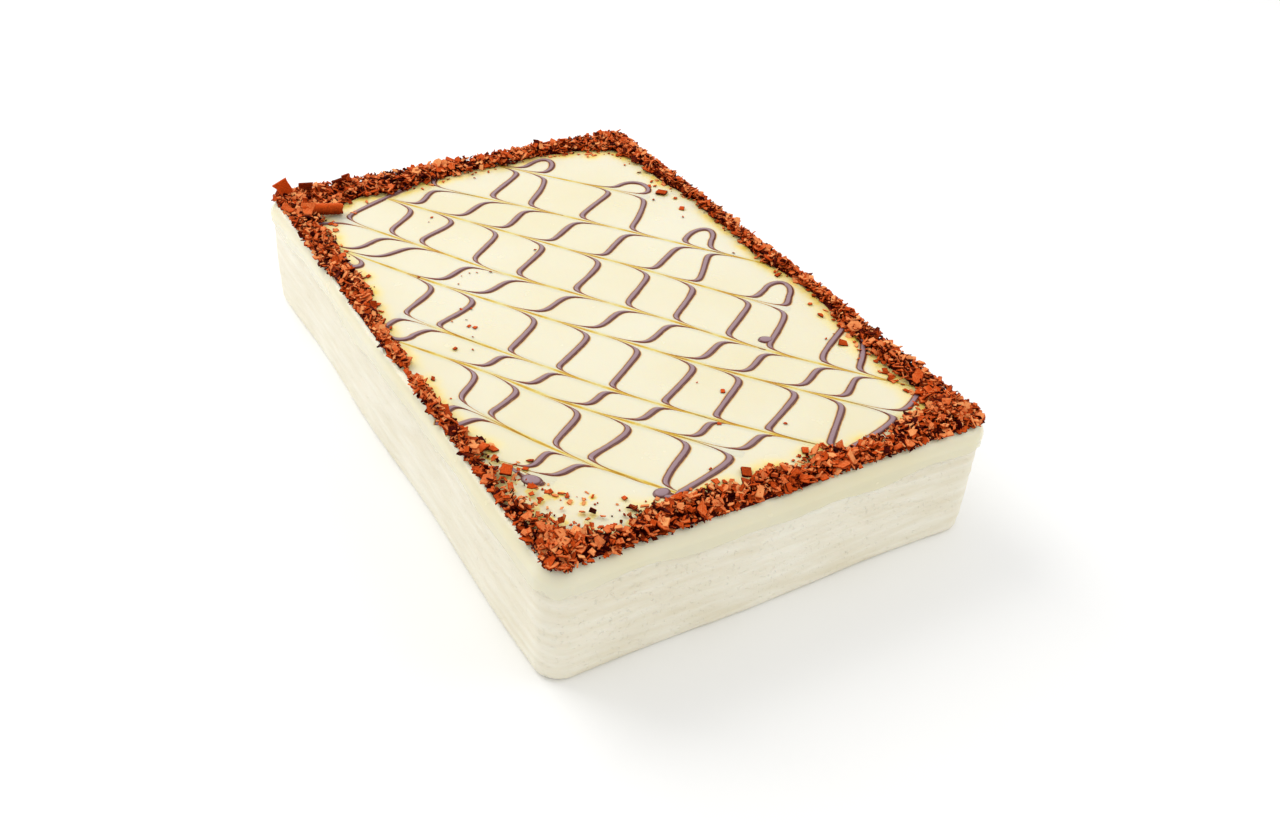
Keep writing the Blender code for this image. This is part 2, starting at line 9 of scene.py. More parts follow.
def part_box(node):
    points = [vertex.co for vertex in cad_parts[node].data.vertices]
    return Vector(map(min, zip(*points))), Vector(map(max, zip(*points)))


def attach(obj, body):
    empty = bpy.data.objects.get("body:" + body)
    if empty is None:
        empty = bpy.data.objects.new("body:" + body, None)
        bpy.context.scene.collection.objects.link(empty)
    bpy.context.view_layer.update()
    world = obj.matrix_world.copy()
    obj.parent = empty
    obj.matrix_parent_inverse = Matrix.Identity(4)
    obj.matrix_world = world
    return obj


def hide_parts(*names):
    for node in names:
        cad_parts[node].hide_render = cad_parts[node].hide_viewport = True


mm = 0.001
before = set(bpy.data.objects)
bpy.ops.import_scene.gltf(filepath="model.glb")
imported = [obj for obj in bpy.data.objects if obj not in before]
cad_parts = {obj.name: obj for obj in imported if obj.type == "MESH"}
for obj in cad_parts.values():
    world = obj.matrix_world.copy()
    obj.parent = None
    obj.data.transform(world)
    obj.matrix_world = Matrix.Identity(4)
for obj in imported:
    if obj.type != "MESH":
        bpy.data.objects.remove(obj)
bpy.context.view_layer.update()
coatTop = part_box("cake_body")[1].z
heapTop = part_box("icing")[1].z

# The cake's outline and coating, as in its solids
cake = {
    "length": 0.452,
    "width": 0.300,
    "cornerRadius": 0.018,
    "leastRadius": 0.004,
    "coatInset": 0.0024,
    "coatBulge": 0.0008,
    "footRound": 0.003,
    "shoulder": 0.0065,
    "gap": 0.0003,
    "icingThickness": 0.0042,
    "lipThickness": 0.0011,
    "lipDrop": 0.0045,
    "lipWave": 0.0034,
}
icingLevel = coatTop + cake["icingThickness"] + cake["gap"]

# Heap of flakes: its outer edge stands at an even distance from the cake's sides. Its inner
# edge is a rounded rectangle, corner radii from the south-east to the south-west, drawn in or
# out to each side's (place along the side, distance from it) points in mm
heap = {
    "outerInset": 0.0055,
    "side": 0.018,
    "end": 0.028,
    "corners": (0.018, 0.026, 0.024, 0.024),
    "west": (
        (-175, 29), (-140, 25), (-110, 16), (-90, 12), (-42, 12), (-31, 8), (-20, 12),
        (10, 13), (50, 18), (90, 23), (110, 20), (150, 24), (175, 27),
    ),
    "east": (
        (-180, 25), (-150, 25), (-98, 20), (-60, 12), (-40, 12), (0, 19), (30, 16),
        (90, 15), (130, 19), (170, 23),
    ),
    "south": (
        (-118, 45), (-104, 39), (-85, 31), (-60, 29), (-32, 27), (-20, 22), (-6, 27),
        (15, 24), (35, 29), (55, 22), (85, 27), (112, 31),
    ),
    "north": (
        (-118, 47), (-104, 43), (-94, 36), (-68, 38), (-40, 32), (0, 26), (35, 25),
        (60, 21), (90, 24), (112, 28),
    ),
    "edgeHeight": 0.0008,
    "crestHeight": 0.0032,
    "crestAt": 0.42,
    "fullWidth": 0.009,
    # places strewn thinly, in mm: x, y, radius, share of the flakes that lies there
    "thinPlaces": (
        (-113, -180, 23, 0.08), (-121, -153, 20, 0.11), (-129, -128, 13, 0.15),
        (-98, -195, 14, 0.13), (-142, -31, 9, 0.15), (0, 207, 12, 0.75), (36, 209, 13, 0.70),
        (128, 90, 13, 0.20), (128, 108, 9, 0.28), (125, 160, 9, 0.35), (20, -203, 8, 0.35),
        (78, -201, 9, 0.35), (129, 30, 8, 0.45),
    ),
    "thinFade": (0.5, 1.4),  # shares of the radius between which a thin place ends
}


def smoothStep(low, high, value):
    share = min(max((value - low) / (high - low), 0.0), 1.0)
    return share * share * (3 - 2 * share)


def fadeOut(low, high, value):
    # 1 up to low, 0 from high on
    return smoothStep(-high, -low, -value)


def curveSlope(points, index):
    # slope from one neighbour to the other; at an end, to the only one
    before, after = points[max(index - 1, 0)], points[min(index + 1, len(points) - 1)]
    return (after[1] - before[1]) / (after[0] - before[0])


def curveAt(points, place):
    # value and slope of a smooth curve through (place, value) points, straight beyond them
    passed = sum(place > point[0] for point in points)
    index = max(0, min(len(points) - 2, passed - 1))
    (start, low), (end, high) = points[index], points[index + 1]
    leave, arrive = curveSlope(points, index), curveSlope(points, index + 1)
    if place <= start:
        return low + leave * (place - start), leave
    if place >= end:
        return high + arrive * (place - end), arrive
    span, gap = end - start, high - low
    share = (place - start) / span
    first = span * leave
    second = 3 * gap - span * (2 * leave + arrive)
    third = span * (leave + arrive) - 2 * gap
    value = low + share * (first + share * (second + share * third))
    return value, (first + share * (2 * second + 3 * share * third)) / span


def cornerArc(x, y, radius, start, steps):
    angles = [math.radians(start + 90 * step / steps) for step in range(steps + 1)]
    return [(x + radius * math.cos(angle), y + radius * math.sin(angle)) for angle in angles]


ringSteps = {"corner": 6, "long": 20, "short": 13}  # for each step of fineness, 90 in all


def roundedRing(west, east, south, north, radii, fineness):
    # counter-clockwise from the south-east corner
    southEast, northEast, northWest, southWest = radii
    steps = ringSteps["corner"] * fineness
    corners = (
        cornerArc(east - southEast, south + southEast, southEast, -90, steps),
        cornerArc(east - northEast, north - northEast, northEast, 0, steps),
        cornerArc(west + northWest, north - northWest, northWest, 90, steps),
        cornerArc(west + southWest, south + southWest, southWest, 180, steps),
    )
    ring = []
    for index, corner in enumerate(corners):
        near, far = corner[-1], corners[(index + 1) % 4][0]
        sideSteps = ringSteps["short" if index % 2 else "long"] * fineness
        ring += corner
        ring += [tuple(a + (b - a) * step / sideSteps for a, b in zip(near, far))
                 for step in range(1, sideSteps)]
    return ring


def cakeRing(inset, fineness):
    halfWidth, halfLength = cake["width"] / 2 - inset, cake["length"] / 2 - inset
    radius = max(cake["cornerRadius"] - inset, cake["leastRadius"])
    return roundedRing(-halfWidth, halfWidth, -halfLength, halfLength, [radius] * 4, fineness)


# A coating spread by hand bows in and out: the waves' depth, their length and phase on the
# long and the short sides, and the share of the depth by which they lie further in
handBow = {"depth": 0.0008, "long": (0.19, 0.6), "short": (0.16, 2.1), "inward": 0.33}


def bowAt(place, side):
    length, phase = handBow[side]
    return handBow["depth"] * (math.sin(2 * math.pi * place / length + phase) - handBow["inward"])


def handMade(x, y):
    bowX, bowY = bowAt(y, "long"), bowAt(x, "short")
    return x + bowX * x / (cake["width"] / 2), y + bowY * y / (cake["length"] / 2)


def heapInset(points, place):
    held = min(max(place / mm, points[0][0]), points[-1][0])
    return curveAt(points, held)[0] * mm


def bareHalf(x, y):
    # half width and half length of the bare icing, seen from its centre past this place
    side = heapInset(heap["west"] if x < 0 else heap["east"], y)
    end = heapInset(heap["south"] if y < 0 else heap["north"], x)
    return cake["width"] / 2 - side, cake["length"] / 2 - end


def heapInnerRing(fineness):
    evenX, evenY = cake["width"] / 2 - heap["side"], cake["length"] / 2 - heap["end"]
    edge = []
    for x, y in roundedRing(-evenX, evenX, -evenY, evenY, heap["corners"], fineness):
        halfX, halfY = bareHalf(x, y)
        edge.append((x * halfX / evenX, y * halfY / evenY))
    return edge


def between(outer, inner, share):
    return [tuple(a + (b - a) * share for a, b in zip(p, q)) for p, q in zip(outer, inner)]


def ringPlace(ring, turn):
    spot = (turn % 1.0) * len(ring)
    index = int(spot)
    first, second = ring[index], ring[(index + 1) % len(ring)]
    return tuple(a + (b - a) * (spot - index) for a, b in zip(first, second))


def heapHeight(share, width):
    # height over the icing of a heap this wide, from its outer edge, 0, to its inner edge, 1
    crest = heap["crestHeight"] * min(1.0, width / heap["fullWidth"])
    if share < heap["crestAt"]:
        return heap["edgeHeight"] + (crest - heap["edgeHeight"]) * max(share, 0.0) / heap["crestAt"]
    return crest * max(0.0, 1 - share) / (1 - heap["crestAt"])


def onBareIcing(x, y, margin):
    # true on the bare icing, and up to margin under the flakes
    halfX, halfY = bareHalf(x, y)
    west, east = (2, 1) if y > 0 else (3, 0)
    radius = heap["corners"][west if x < 0 else east]
    nearX = max(abs(x) - halfX - margin + radius, 0.0)
    nearY = max(abs(y) - halfY - margin + radius, 0.0)
    return math.hypot(nearX, nearY) < radius


def fullness(x, y):
    # 1 where the heap is whole, less where it was strewn thinly
    kept = 1.0
    for placeX, placeY, radius, share in heap["thinPlaces"]:
        away = math.hypot(x - placeX * mm, y - placeY * mm)
        near = fadeOut(*(part * radius * mm for part in heap["thinFade"]), away)
        kept = min(kept, 1 - (1 - share) * near)
    return kept


def wrappedSheet(rings, marks=None):
    # a flat grid rolled up: each of its rows takes one ring of places, and marks become
    # vertex attributes, one value for each place
    form = bmesh.new()
    around, rows = len(rings[0]), len(rings)
    bmesh.ops.create_grid(form, x_segments=around, y_segments=rows - 1, size=1.0)
    layers = {label: form.verts.layers.float.new(label) for label in (marks or {})}
    for vert in form.verts:
        column = round((vert.co.x + 1) / 2 * around) % around
        row = round((vert.co.y + 1) / 2 * (rows - 1))
        vert.co = rings[row][column]
        for label, layer in layers.items():
            vert[layer] = marks[label][row][column]
    seam = [vert for vert in form.verts if vert.is_boundary]
    bmesh.ops.remove_doubles(form, verts=seam, dist=1e-8)
    return form


def looseEdges(form):
    return [edge for edge in form.edges if edge.is_boundary]


def closeEnds(form):
    bmesh.ops.holes_fill(form, edges=looseEdges(form), sides=0)


def addTo(whole, form):
    # joins a finished form to the piece it belongs to
    bmesh.ops.recalc_face_normals(form, faces=form.faces)
    scratch = bpy.data.meshes.new("scratch")
    form.to_mesh(scratch)
    form.free()
    whole.from_mesh(scratch)
    bpy.data.meshes.remove(scratch)


def finishPiece(form, name, material, replaces=None, smoothAngle=None):
    bmesh.ops.recalc_face_normals(form, faces=form.faces)
    mesh = bpy.data.meshes.new(name)
    form.to_mesh(mesh)
    form.free()
    placeMesh(mesh, name, material, replaces, smoothAngle)


def placeMesh(mesh, name, material, replaces=None, smoothAngle=None):
    mesh.materials.append(material)
    piece = bpy.data.objects.new(name, mesh)
    bpy.context.scene.collection.objects.link(piece)
    if smoothAngle:
        mesh.shade_smooth()
        mesh.set_sharp_from_angle(angle=math.radians(smoothAngle))
    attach(piece, "root")
    if replaces:
        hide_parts(replaces)
    print(name, len(mesh.polygons), "faces")


def feed(tree, node, feeds):
    # gives each of the node's inputs its value, or links it to another node's output
    for label, value in feeds.items():
        if isinstance(value, bpy.types.NodeSocket):
            tree.links.new(value, node.inputs[label])
        else:
            node.inputs[label].default_value = value
    return node


def addNode(tree, kind, feeds=None, **settings):
    node = tree.nodes.new("ShaderNode" + kind)
    for label, value in settings.items():
        setattr(node, label, value)
    return feed(tree, node, feeds or {})


def mixColours(tree, factor, first, second):
    return addNode(tree, "Mix", {0: factor, 6: first, 7: second}, data_type="RGBA").outputs[2]


def rampOf(tree, factor, stops):
    # stops: (place, colour) in the order of their places
    node = addNode(tree, "ValToRGB", {"Fac": factor})
    ramp = node.color_ramp
    ramp.elements[0].position = stops[0][0]
    ramp.elements[1].position = stops[-1][0]
    for place, colour in stops[1:-1]:
        ramp.elements.new(place)
    for stop, (place, colour) in zip(ramp.elements, stops):
        stop.color = (*colour, 1.0)
    return node.outputs["Color"]


noiseSpan = (0.3, 0.7)  # nearly all of a noise lies between these


def noiseOf(tree, scale, detail=3.0, stretch=(1.0, 1.0, 1.0)):
    place = addNode(tree, "TexCoord").outputs["Object"]
    mapping = addNode(tree, "Mapping", {"Vector": place, "Scale": stretch})
    feeds = {"Vector": mapping.outputs["Vector"], "Scale": scale, "Detail": detail}
    return addNode(tree, "TexNoise", feeds).outputs["Fac"]


def spreadOf(tree, value, low, high, toLow=0.0, toHigh=1.0):
    feeds = {0: value, 1: low, 2: high, 3: toLow, 4: toHigh}
    return addNode(tree, "MapRange", feeds).outputs[0]


def mathOf(tree, operation, first, second):
    return addNode(tree, "Math", {0: first, 1: second}, operation=operation).outputs[0]


def driftOf(tree, value, amount):
    # swings evenly about zero by this share of the noise
    return mathOf(tree, "MULTIPLY", mathOf(tree, "SUBTRACT", value, 0.5), amount)


def attributeOf(tree, label):
    return addNode(tree, "Attribute", attribute_name=label).outputs["Fac"]


def bumpOf(tree, height, distance, normal=None):
    feeds = {"Height": height, "Distance": distance}
    if normal:
        feeds["Normal"] = normal
    return addNode(tree, "Bump", feeds).outputs["Normal"]


def newSkin(name, takes):
    # a node group with these inputs (name, kind, value) that gives colour, roughness and normal
    group = bpy.data.node_groups.new(name, "ShaderNodeTree")
    for label, kind, value in takes:
        socket = group.interface.new_socket(name=label, in_out="INPUT",
                                            socket_type="NodeSocket" + kind)
        socket.default_value = value
    for label, kind in (("Color", "Color"), ("Roughness", "Float"), ("Normal", "Vector")):
        group.interface.new_socket(name=label, in_out="OUTPUT", socket_type="NodeSocket" + kind)
    return group, group.nodes.new("NodeGroupInput"), group.nodes.new("NodeGroupOutput")


def wearSkin(tree, shader, skin, feeds):
    # places a skin in a material and links it to its shader
    node = addNode(tree, "Group", feeds, node_tree=skin)
    feed(tree, shader, {"Base Color": node.outputs["Color"],
                        "Roughness": node.outputs["Roughness"],
                        "Normal": node.outputs["Normal"]})


def newFinish(name, **constants):
    material = bpy.data.materials.new(name)
    material.use_nodes = True
    shader = material.node_tree.nodes["Principled BSDF"]
    for label, value in constants.items():
        shader.inputs[label.replace("_", " ")].default_value = value
    return material, material.node_tree, shader


# In the tables of looks a noise is given by its scale, higher for finer, and a relief by its
# depth in metres
icingLooks = {
    "pale": (0.815, 0.765, 0.580),
    "deep": (0.795, 0.725, 0.490),
    "paintedShadeYellow": (0.96, 0.80, 0.24),
    "paintedShadeGolden": (0.99, 0.58, 0.015),
    "smearPale": (0.84, 0.70, 0.26),
    "smearGold": (0.72, 0.43, 0.015),
    "smearBrown": (0.42, 0.12, 0.006),
    "roughness": (0.16, 0.28),
    "clouds": 11.0,
    "paintedShadePatches": 160.0,
    "smearGrain": 420.0,
    "sheen": 60.0,
    "swell": 22.0,
    "swellDepth": 0.0012,
    "pores": 240.0,
    "poreDepth": 0.00005,
}


def icingSkin():
    # poured icing: a cloudy pale yellow, with painted shade and bounced light, yellow to golden,
    # beside the flakes, and drawn out brown and golden where the knife smeared chocolate through it
    group, given, result = newSkin("icingSkin", [("Smear", "Float", 0.0), ("Paintedshade", "Float", 0.0)])
    looks = icingLooks
    clouds = spreadOf(group, noiseOf(group, looks["clouds"], 4.0), 0.35, 0.68)
    base = rampOf(group, clouds, [(0.0, looks["pale"]), (1.0, looks["deep"])])
    # painted shade and bounced light beside the flakes, in patches, from yellow to golden
    patches = spreadOf(group, noiseOf(group, looks["paintedShadePatches"], 2.0), *noiseSpan, 0.55, 1.0)
    paintedshade = mathOf(group, "MULTIPLY", given.outputs["Paintedshade"], patches)
    paintedShadeColour = rampOf(group, paintedshade, [(0.15, looks["paintedShadeYellow"]), (0.85, looks["paintedShadeGolden"])])
    withPaintedShade = mixColours(group, spreadOf(group, paintedshade, 0.0, 0.6), base, paintedShadeColour)
    grains = spreadOf(group, noiseOf(group, looks["smearGrain"], 2.0), *noiseSpan, 0.88, 1.08)
    smear = mathOf(group, "MULTIPLY", given.outputs["Smear"], grains)
    smearColour = rampOf(group, smear, [
        (0.0, looks["smearPale"]), (0.35, looks["smearPale"]), (0.65, looks["smearGold"]),
        (1.0, looks["smearBrown"]),
    ])
    sheen = noiseOf(group, looks["sheen"], 3.0)
    swell = bumpOf(group, noiseOf(group, looks["swell"], 1.5), looks["swellDepth"])
    pores = noiseOf(group, looks["pores"], 2.0)
    feed(group, result, {
        "Color": mixColours(group, spreadOf(group, smear, 0.02, 0.42), withPaintedShade, smearColour),
        "Roughness": spreadOf(group, sheen, *noiseSpan, *looks["roughness"]),
        "Normal": bumpOf(group, pores, looks["poreDepth"], normal=swell),
    })
    return group


flakeLooks = {
    "Dark": (0.045, 0.001, 0.0005),
    "Middle": (0.680, 0.083, 0.008),
    "Milky": (0.970, 0.410, 0.145),
    "roughness": (0.42, 0.62),
    "grain": 900.0,
    "grainDepth": 0.00012,
    "ribs": 3.2,
    "ribDepth": 0.00018,
}


def chocolateSkin():
    # matte chocolate with scrape marks: Tone runs from dark to milky over the pieces, and tones
    # pushed below a piece's own are painted shade on the flakes' lower faces, deep in the heap and
    # on the bed under it
    looks = flakeLooks
    tones = [(label, "Color", (*looks[label], 1.0)) for label in ("Dark", "Middle", "Milky")]
    group, given, result = newSkin(
        "chocolateSkin", [("Tone", "Float", 0.5), ("Scrape", "Float", 0.0), *tones])
    grain = noiseOf(group, looks["grain"])
    ribs = addNode(group, "TexNoise",
                   {"W": given.outputs["Scrape"], "Scale": looks["ribs"], "Detail": 2.0},
                   noise_dimensions="1D").outputs["Fac"]
    tone = mathOf(group, "ADD", given.outputs["Tone"], driftOf(group, grain, 0.5))
    tone = mathOf(group, "ADD", tone, driftOf(group, ribs, 0.45))
    dark = mixColours(group, spreadOf(group, tone, 0.0, 0.5), given.outputs["Dark"],
                      given.outputs["Middle"])
    ribbed = bumpOf(group, ribs, looks["ribDepth"])
    feed(group, result, {
        "Color": mixColours(group, spreadOf(group, tone, 0.5, 1.0), dark, given.outputs["Milky"]),
        "Roughness": spreadOf(group, grain, *noiseSpan, *looks["roughness"]),
        "Normal": bumpOf(group, grain, looks["grainDepth"], normal=ribbed),
    })
    return group


creamLooks = {
    "shaded": (0.80, 0.735, 0.56),
    "lit": (0.90, 0.86, 0.73),
    "roughness": (0.42, 0.62),
    "clouds": 14.0,
    "streaks": 30.0,
    "streakDepth": 0.0009,
    "pits": 420.0,
    "pitDepth": -0.00035,
}


def creamFinish():
    # spread cream: off-white, satin, with soft streaks from a palette knife
    looks = creamLooks
    material, tree, shader = newFinish(
        "spreadCream", Subsurface_Weight=0.12, Subsurface_Radius=(0.004, 0.003, 0.002),
        Subsurface_Scale=1.0,
    )
    streaks = noiseOf(tree, looks["streaks"], 4.0, (1.0, 1.0, 7.0))
    clouds = noiseOf(tree, looks["clouds"])
    amount = mathOf(tree, "ADD", mathOf(tree, "MULTIPLY", streaks, 0.6),
                    mathOf(tree, "MULTIPLY", clouds, 0.4))
    pits = spreadOf(tree, noiseOf(tree, looks["pits"]), 0.60, 0.74)
    streaked = bumpOf(tree, streaks, looks["streakDepth"])
    feed(tree, shader, {
        "Base Color": rampOf(tree, spreadOf(tree, amount, 0.35, 0.65),
                             [(0.0, looks["shaded"]), (1.0, looks["lit"])]),
        "Roughness": spreadOf(tree, streaks, *noiseSpan, *looks["roughness"]),
        "Normal": bumpOf(tree, pits, looks["pitDepth"], normal=streaked),
    })
    return material


def icingFinish(skin, name, marks):
    material, tree, shader = newFinish(
        name, Subsurface_Weight=0.20, Subsurface_Radius=(0.004, 0.003, 0.0016),
        Subsurface_Scale=1.0, Specular_IOR_Level=0.55,
    )
    wearSkin(tree, shader, skin, {mark.title(): attributeOf(tree, mark) for mark in marks})
    return material


lineLooks = {
    "top": (0.320, 0.200, 0.222),
    "paintedShadeFlank": (0.110, 0.012, 0.003),
    "bled": (0.640, 0.340, 0.080),
    "faded": (0.810, 0.740, 0.520),
    "leg": (0.240, 0.050, 0.009),
    "drawn": (0.640, 0.280, 0.012),
    "thread": (0.820, 0.560, 0.050),
    "roughness": (0.26, 0.38),
    "grain": 300.0,
    "grainDepth": 0.00012,
}
edgeScale = 1.7  # the mark on the lines' edges is the share of the half width over this


def lineFinish():
    # piped chocolate, with a painted reflection, a greyish sheen, on top and painted shade, dark
    # red-brown, along its edges, drawn out to gold
    looks = lineLooks
    material, tree, shader = newFinish("pipedChocolate", Specular_IOR_Level=0.6)
    rough = noiseOf(tree, looks["grain"])
    edge = mathOf(tree, "ADD", attributeOf(tree, "edge"), driftOf(tree, rough, 0.15))
    # from the middle of the line to past its edge, in half widths
    # the top colour is a painted reflection of the light, the flank colour painted shade on the
    # line's sloping edges
    colours = ((0.40, "top"), (0.74, "paintedShadeFlank"), (1.02, "paintedShadeFlank"), (1.25, "bled"), (1.60, "faded"))
    body = rampOf(tree, edge, [(place / edgeScale, looks[label]) for place, label in colours])
    thin = attributeOf(tree, "thin")
    drawn = rampOf(tree, thin, [(0.70, looks["leg"]), (0.90, looks["drawn"]),
                                (1.0, looks["thread"])])
    feed(tree, shader, {
        "Base Color": mixColours(tree, spreadOf(tree, thin, 0.25, 0.55), body, drawn),
        "Roughness": spreadOf(tree, rough, *noiseSpan, *looks["roughness"]),
        "Normal": bumpOf(tree, rough, looks["grainDepth"]),
    })
    return material


def flakeFinish(skin, name, evenTone=None):
    # the flakes carry their own tone and scrape marks, unless one even tone is given
    material, tree, shader = newFinish(name, Specular_IOR_Level=0.03)
    feeds = {"Tone": evenTone}
    if evenTone is None:
        feeds = {"Tone": attributeOf(tree, "tone"), "Scrape": attributeOf(tree, "scrape")}
    wearSkin(tree, shader, skin, feeds)
    return material


piping = {
    "angle": math.radians(39),
    "width": 3.9 * mm,
    "height": 0.8 * mm,
    "root": 0.4 * mm,
    "step": 1.5 * mm,
    "turnSteps": 28,
    "longestSpan": 1.5 * mm,
    "finestStep": 0.004 * mm,
    "fewestPoints": 4,
    "underFlakes": 8 * mm,
    # each stroke: points (along, across) on its centre line in mm, from left to right
    "strokes": (
        ((5, 212), (14, 205), (25, 200), (38, 196.5), (52, 193), (80, 185)),
        ((-22, 168.5), (-5, 166), (20, 163), (45, 161.7), (64, 162.5), (85, 166.5), (97, 172)),
        ((-24, 152), (-10, 146), (8, 139.5), (22, 136.3), (48, 128.7), (65, 126.5),
         (125, 122.3), (160, 120.5)),
        ((-90, 103), (-45, 98), (10, 93.3), (44, 92.5), (70, 91.5), (95, 92.7), (125, 94.5),
         (147, 99), (160, 102.5)),
        ((-91, 83), (-72, 75), (-50, 68), (-25, 63.5), (12, 58), (62, 54.5), (110, 51.2),
         (160, 44.5)),
        ((-157, 28), (-100, 26.3), (-75, 22.5), (-55, 21.3), (-25, 20), (10, 15), (35, 12.8),
         (65, 13.7), (115, 12.8), (160, 20.5)),
        ((-165, 18), (-142, 5), (-125, 0), (-105, -6.3), (-80, -11.7), (-50, -15.5),
         (-20, -19.7), (10, -22.5), (35, -23.3), (60, -24.3), (108, -28.7)),
        ((-184, -37.5), (-145, -40), (-86, -47.5), (-50, -50.3), (-5, -55.7), (30, -57.2),
         (60, -55.5), (112, -46)),
        ((-184, -51), (-157, -62), (-130, -72.5), (-88, -81.7), (-50, -87.5), (0, -93.7),
         (45, -97.3), (62, -100)),
        ((-166, -107), (-145, -107), (-105, -112), (-60, -116), (-20, -120.3), (30, -122),
         (62, -117.5)),
        ((-166, -117), (-135, -131), (-103, -141.5), (-50, -151.8), (-12, -156.5), (5, -156),
         (40, -160.5)),
        ((-95, -181.5), (-50, -180.2), (0, -179.7), (15, -178.5), (30, -175)),
        ((-85, -194), (-70, -202), (-55, -208.5), (-35, -215.5), (-5, -221)),
    ),
    # how far each turn back swings out in mm, right and left in turn
    "turns": (22, 12, 17.5, 9.5, 13.5, 10, 16, 6, 14.5, 5, 12, 9),
}
knife = {
    "reach": 40 * mm,
    "sharpness": 0.75,
    "widening": 650 * mm,
    "softEnd": 5 * mm,
    "track": (0.52, 0.78),  # shares of the reach between which its own track begins
    # each drag: 1 for one that runs away from the front, and in mm the stretch across where it
    # touches the piping, how far the piping follows on its left and right, and points
    # (across, along) on its line
    "drags": (
        {"direction": 1, "touches": (-56, -8), "spread": (1.3, 1.3),
         "course": ((-50, -184), (-8, -181))},
        {"direction": -1, "touches": (-109, 34), "spread": (1.0, 0.9),
         "course": ((-100, -164.5), (-65, -162), (-40, -158.5), (-10, -152), (32, -141))},
        {"direction": 1, "touches": (-150, 52), "spread": (1.8, 1.4),
         "course": ((-145, -118.5), (-55, -117), (-22, -115), (0, -111.5), (20, -108),
                    (80, -102))},
        {"direction": -1, "touches": (-188, 104), "spread": (0.95, 0.7),
         "course": ((-185, -91), (-110, -93.7), (-70, -93), (-35, -90.5), (0, -86.5),
                    (60, -79.5), (120, -71.5))},
        {"direction": 1, "touches": (-222, 190), "spread": (1.7, 1.8),
         "course": ((-205, -41.5), (-130, -43), (-90, -42.5), (-45, -40), (40, -34.5),
                    (110, -28), (190, -16.5))},
        {"direction": -1, "touches": (-205, 214), "spread": (1.6, 1.1),
         "course": ((-200, -9), (-130, -9.5), (-95, -7.5), (-50, -3), (75, 3), (115, 8.5),
                    (210, 20.5))},
        {"direction": 1, "touches": (-150, 175), "spread": (1.6, 1.2),
         "course": ((-145, 44), (-85, 46), (-5, 51.3), (30, 52.5), (95, 56.5), (185, 62))},
        {"direction": -1, "touches": (-80, 175), "spread": (1.5, 1.0),
         "course": ((-75, 97), (70, 97.5), (110, 96.7), (170, 94))},
        {"direction": 1, "touches": (12, 130), "spread": (1.2, 1.3),
         "course": ((20, 154.5), (65, 153), (130, 151))},
    ),
}


def knifeAt(drag, across):
    along, lean = curveAt(drag["course"], across / mm)
    return along * mm, lean


def pullOf(drag, along, across):
    # share of the knife's reach by which the piping follows here, and the knife's lean
    low, high = (end * mm for end in drag["touches"])
    soft = knife["softEnd"]
    touch = smoothStep(low - soft, low, across) * fadeOut(high, high + soft, across)
    if touch == 0.0:
        return 0.0, 0.0
    place, lean = knifeAt(drag, across)
    left, right = drag["spread"]
    spread = (left if along < place else right) * mm * (1 + across / knife["widening"])
    return touch * math.exp(-(abs(along - place) / spread) ** knife["sharpness"]), lean


def feathered(along, across):
    movedAlong, movedAcross = along, across
    for drag in knife["drags"]:
        pull, lean = pullOf(drag, along, across)
        movedAcross += drag["direction"] * knife["reach"] * pull
        movedAlong += drag["direction"] * knife["reach"] * pull * lean
    return movedAlong, movedAcross


def onKnifeTrack(along, across):
    # 1 on the knife's own track, where the piping was drawn out to nothing
    pulls = [pullOf(drag, along, across)[0] for drag in knife["drags"]]
    return smoothStep(*knife["track"], max(pulls))


def onCake(along, across):
    cosine, sine = math.cos(piping["angle"]), math.sin(piping["angle"])
    return along * cosine - across * sine, along * sine + across * cosine


def strokePoints(stroke):
    first, last = stroke[0][0] * mm, stroke[-1][0] * mm
    steps = int((last - first) / piping["step"])
    alongs = [first + (last - first) * step / steps for step in range(steps + 1)]
    return [(along, curveAt(stroke, along / mm)[0] * mm) for along in alongs]


def turnPoints(start, end, bulge):
    # half an ellipse from the end of one stroke to the end of the next
    points = []
    for step in range(1, piping["turnSteps"]):
        angle = math.pi * step / piping["turnSteps"]
        share = (1 - math.cos(angle)) / 2
        along = start[0] + (end[0] - start[0]) * share + bulge * math.sin(angle)
        points.append((along, start[1] + (end[1] - start[1]) * share))
    return points


def pipingPath():
    path = strokePoints(piping["strokes"][0])
    for index, (turn, stroke) in enumerate(zip(piping["turns"], piping["strokes"][1:])):
        turnsRight = index % 2 == 0
        row = strokePoints(stroke)[::-1 if turnsRight else 1]
        path += turnPoints(path[-1], row[0], turn * mm if turnsRight else -turn * mm)
        path += row
    return path


def closeSet(path):
    # more points where the knife draws the line out, so that no span is long
    fine = [path[0]]
    for after in path[1:]:
        stack = [(fine[-1], after)]
        while stack:
            a, b = stack.pop()
            span = math.dist(feathered(*a), feathered(*b))
            if span > piping["longestSpan"] and math.dist(a, b) > piping["finestStep"]:
                middle = ((a[0] + b[0]) / 2, (a[1] + b[1]) / 2)
                stack += [(middle, b), (a, middle)]
            else:
                fine.append(b)
    return fine


def lineRuns(path):
    # stretches of the path, as numbers of its points, that end a little way under the flakes
    runs, run = [], []
    for index, point in enumerate(path):
        if onBareIcing(*onCake(*feathered(*point)), piping["underFlakes"]):
            run.append(index)
        elif run:
            runs.append(run)
            run = []
    runs.append(run)
    return [run for run in runs if len(run) >= piping["fewestPoints"]]


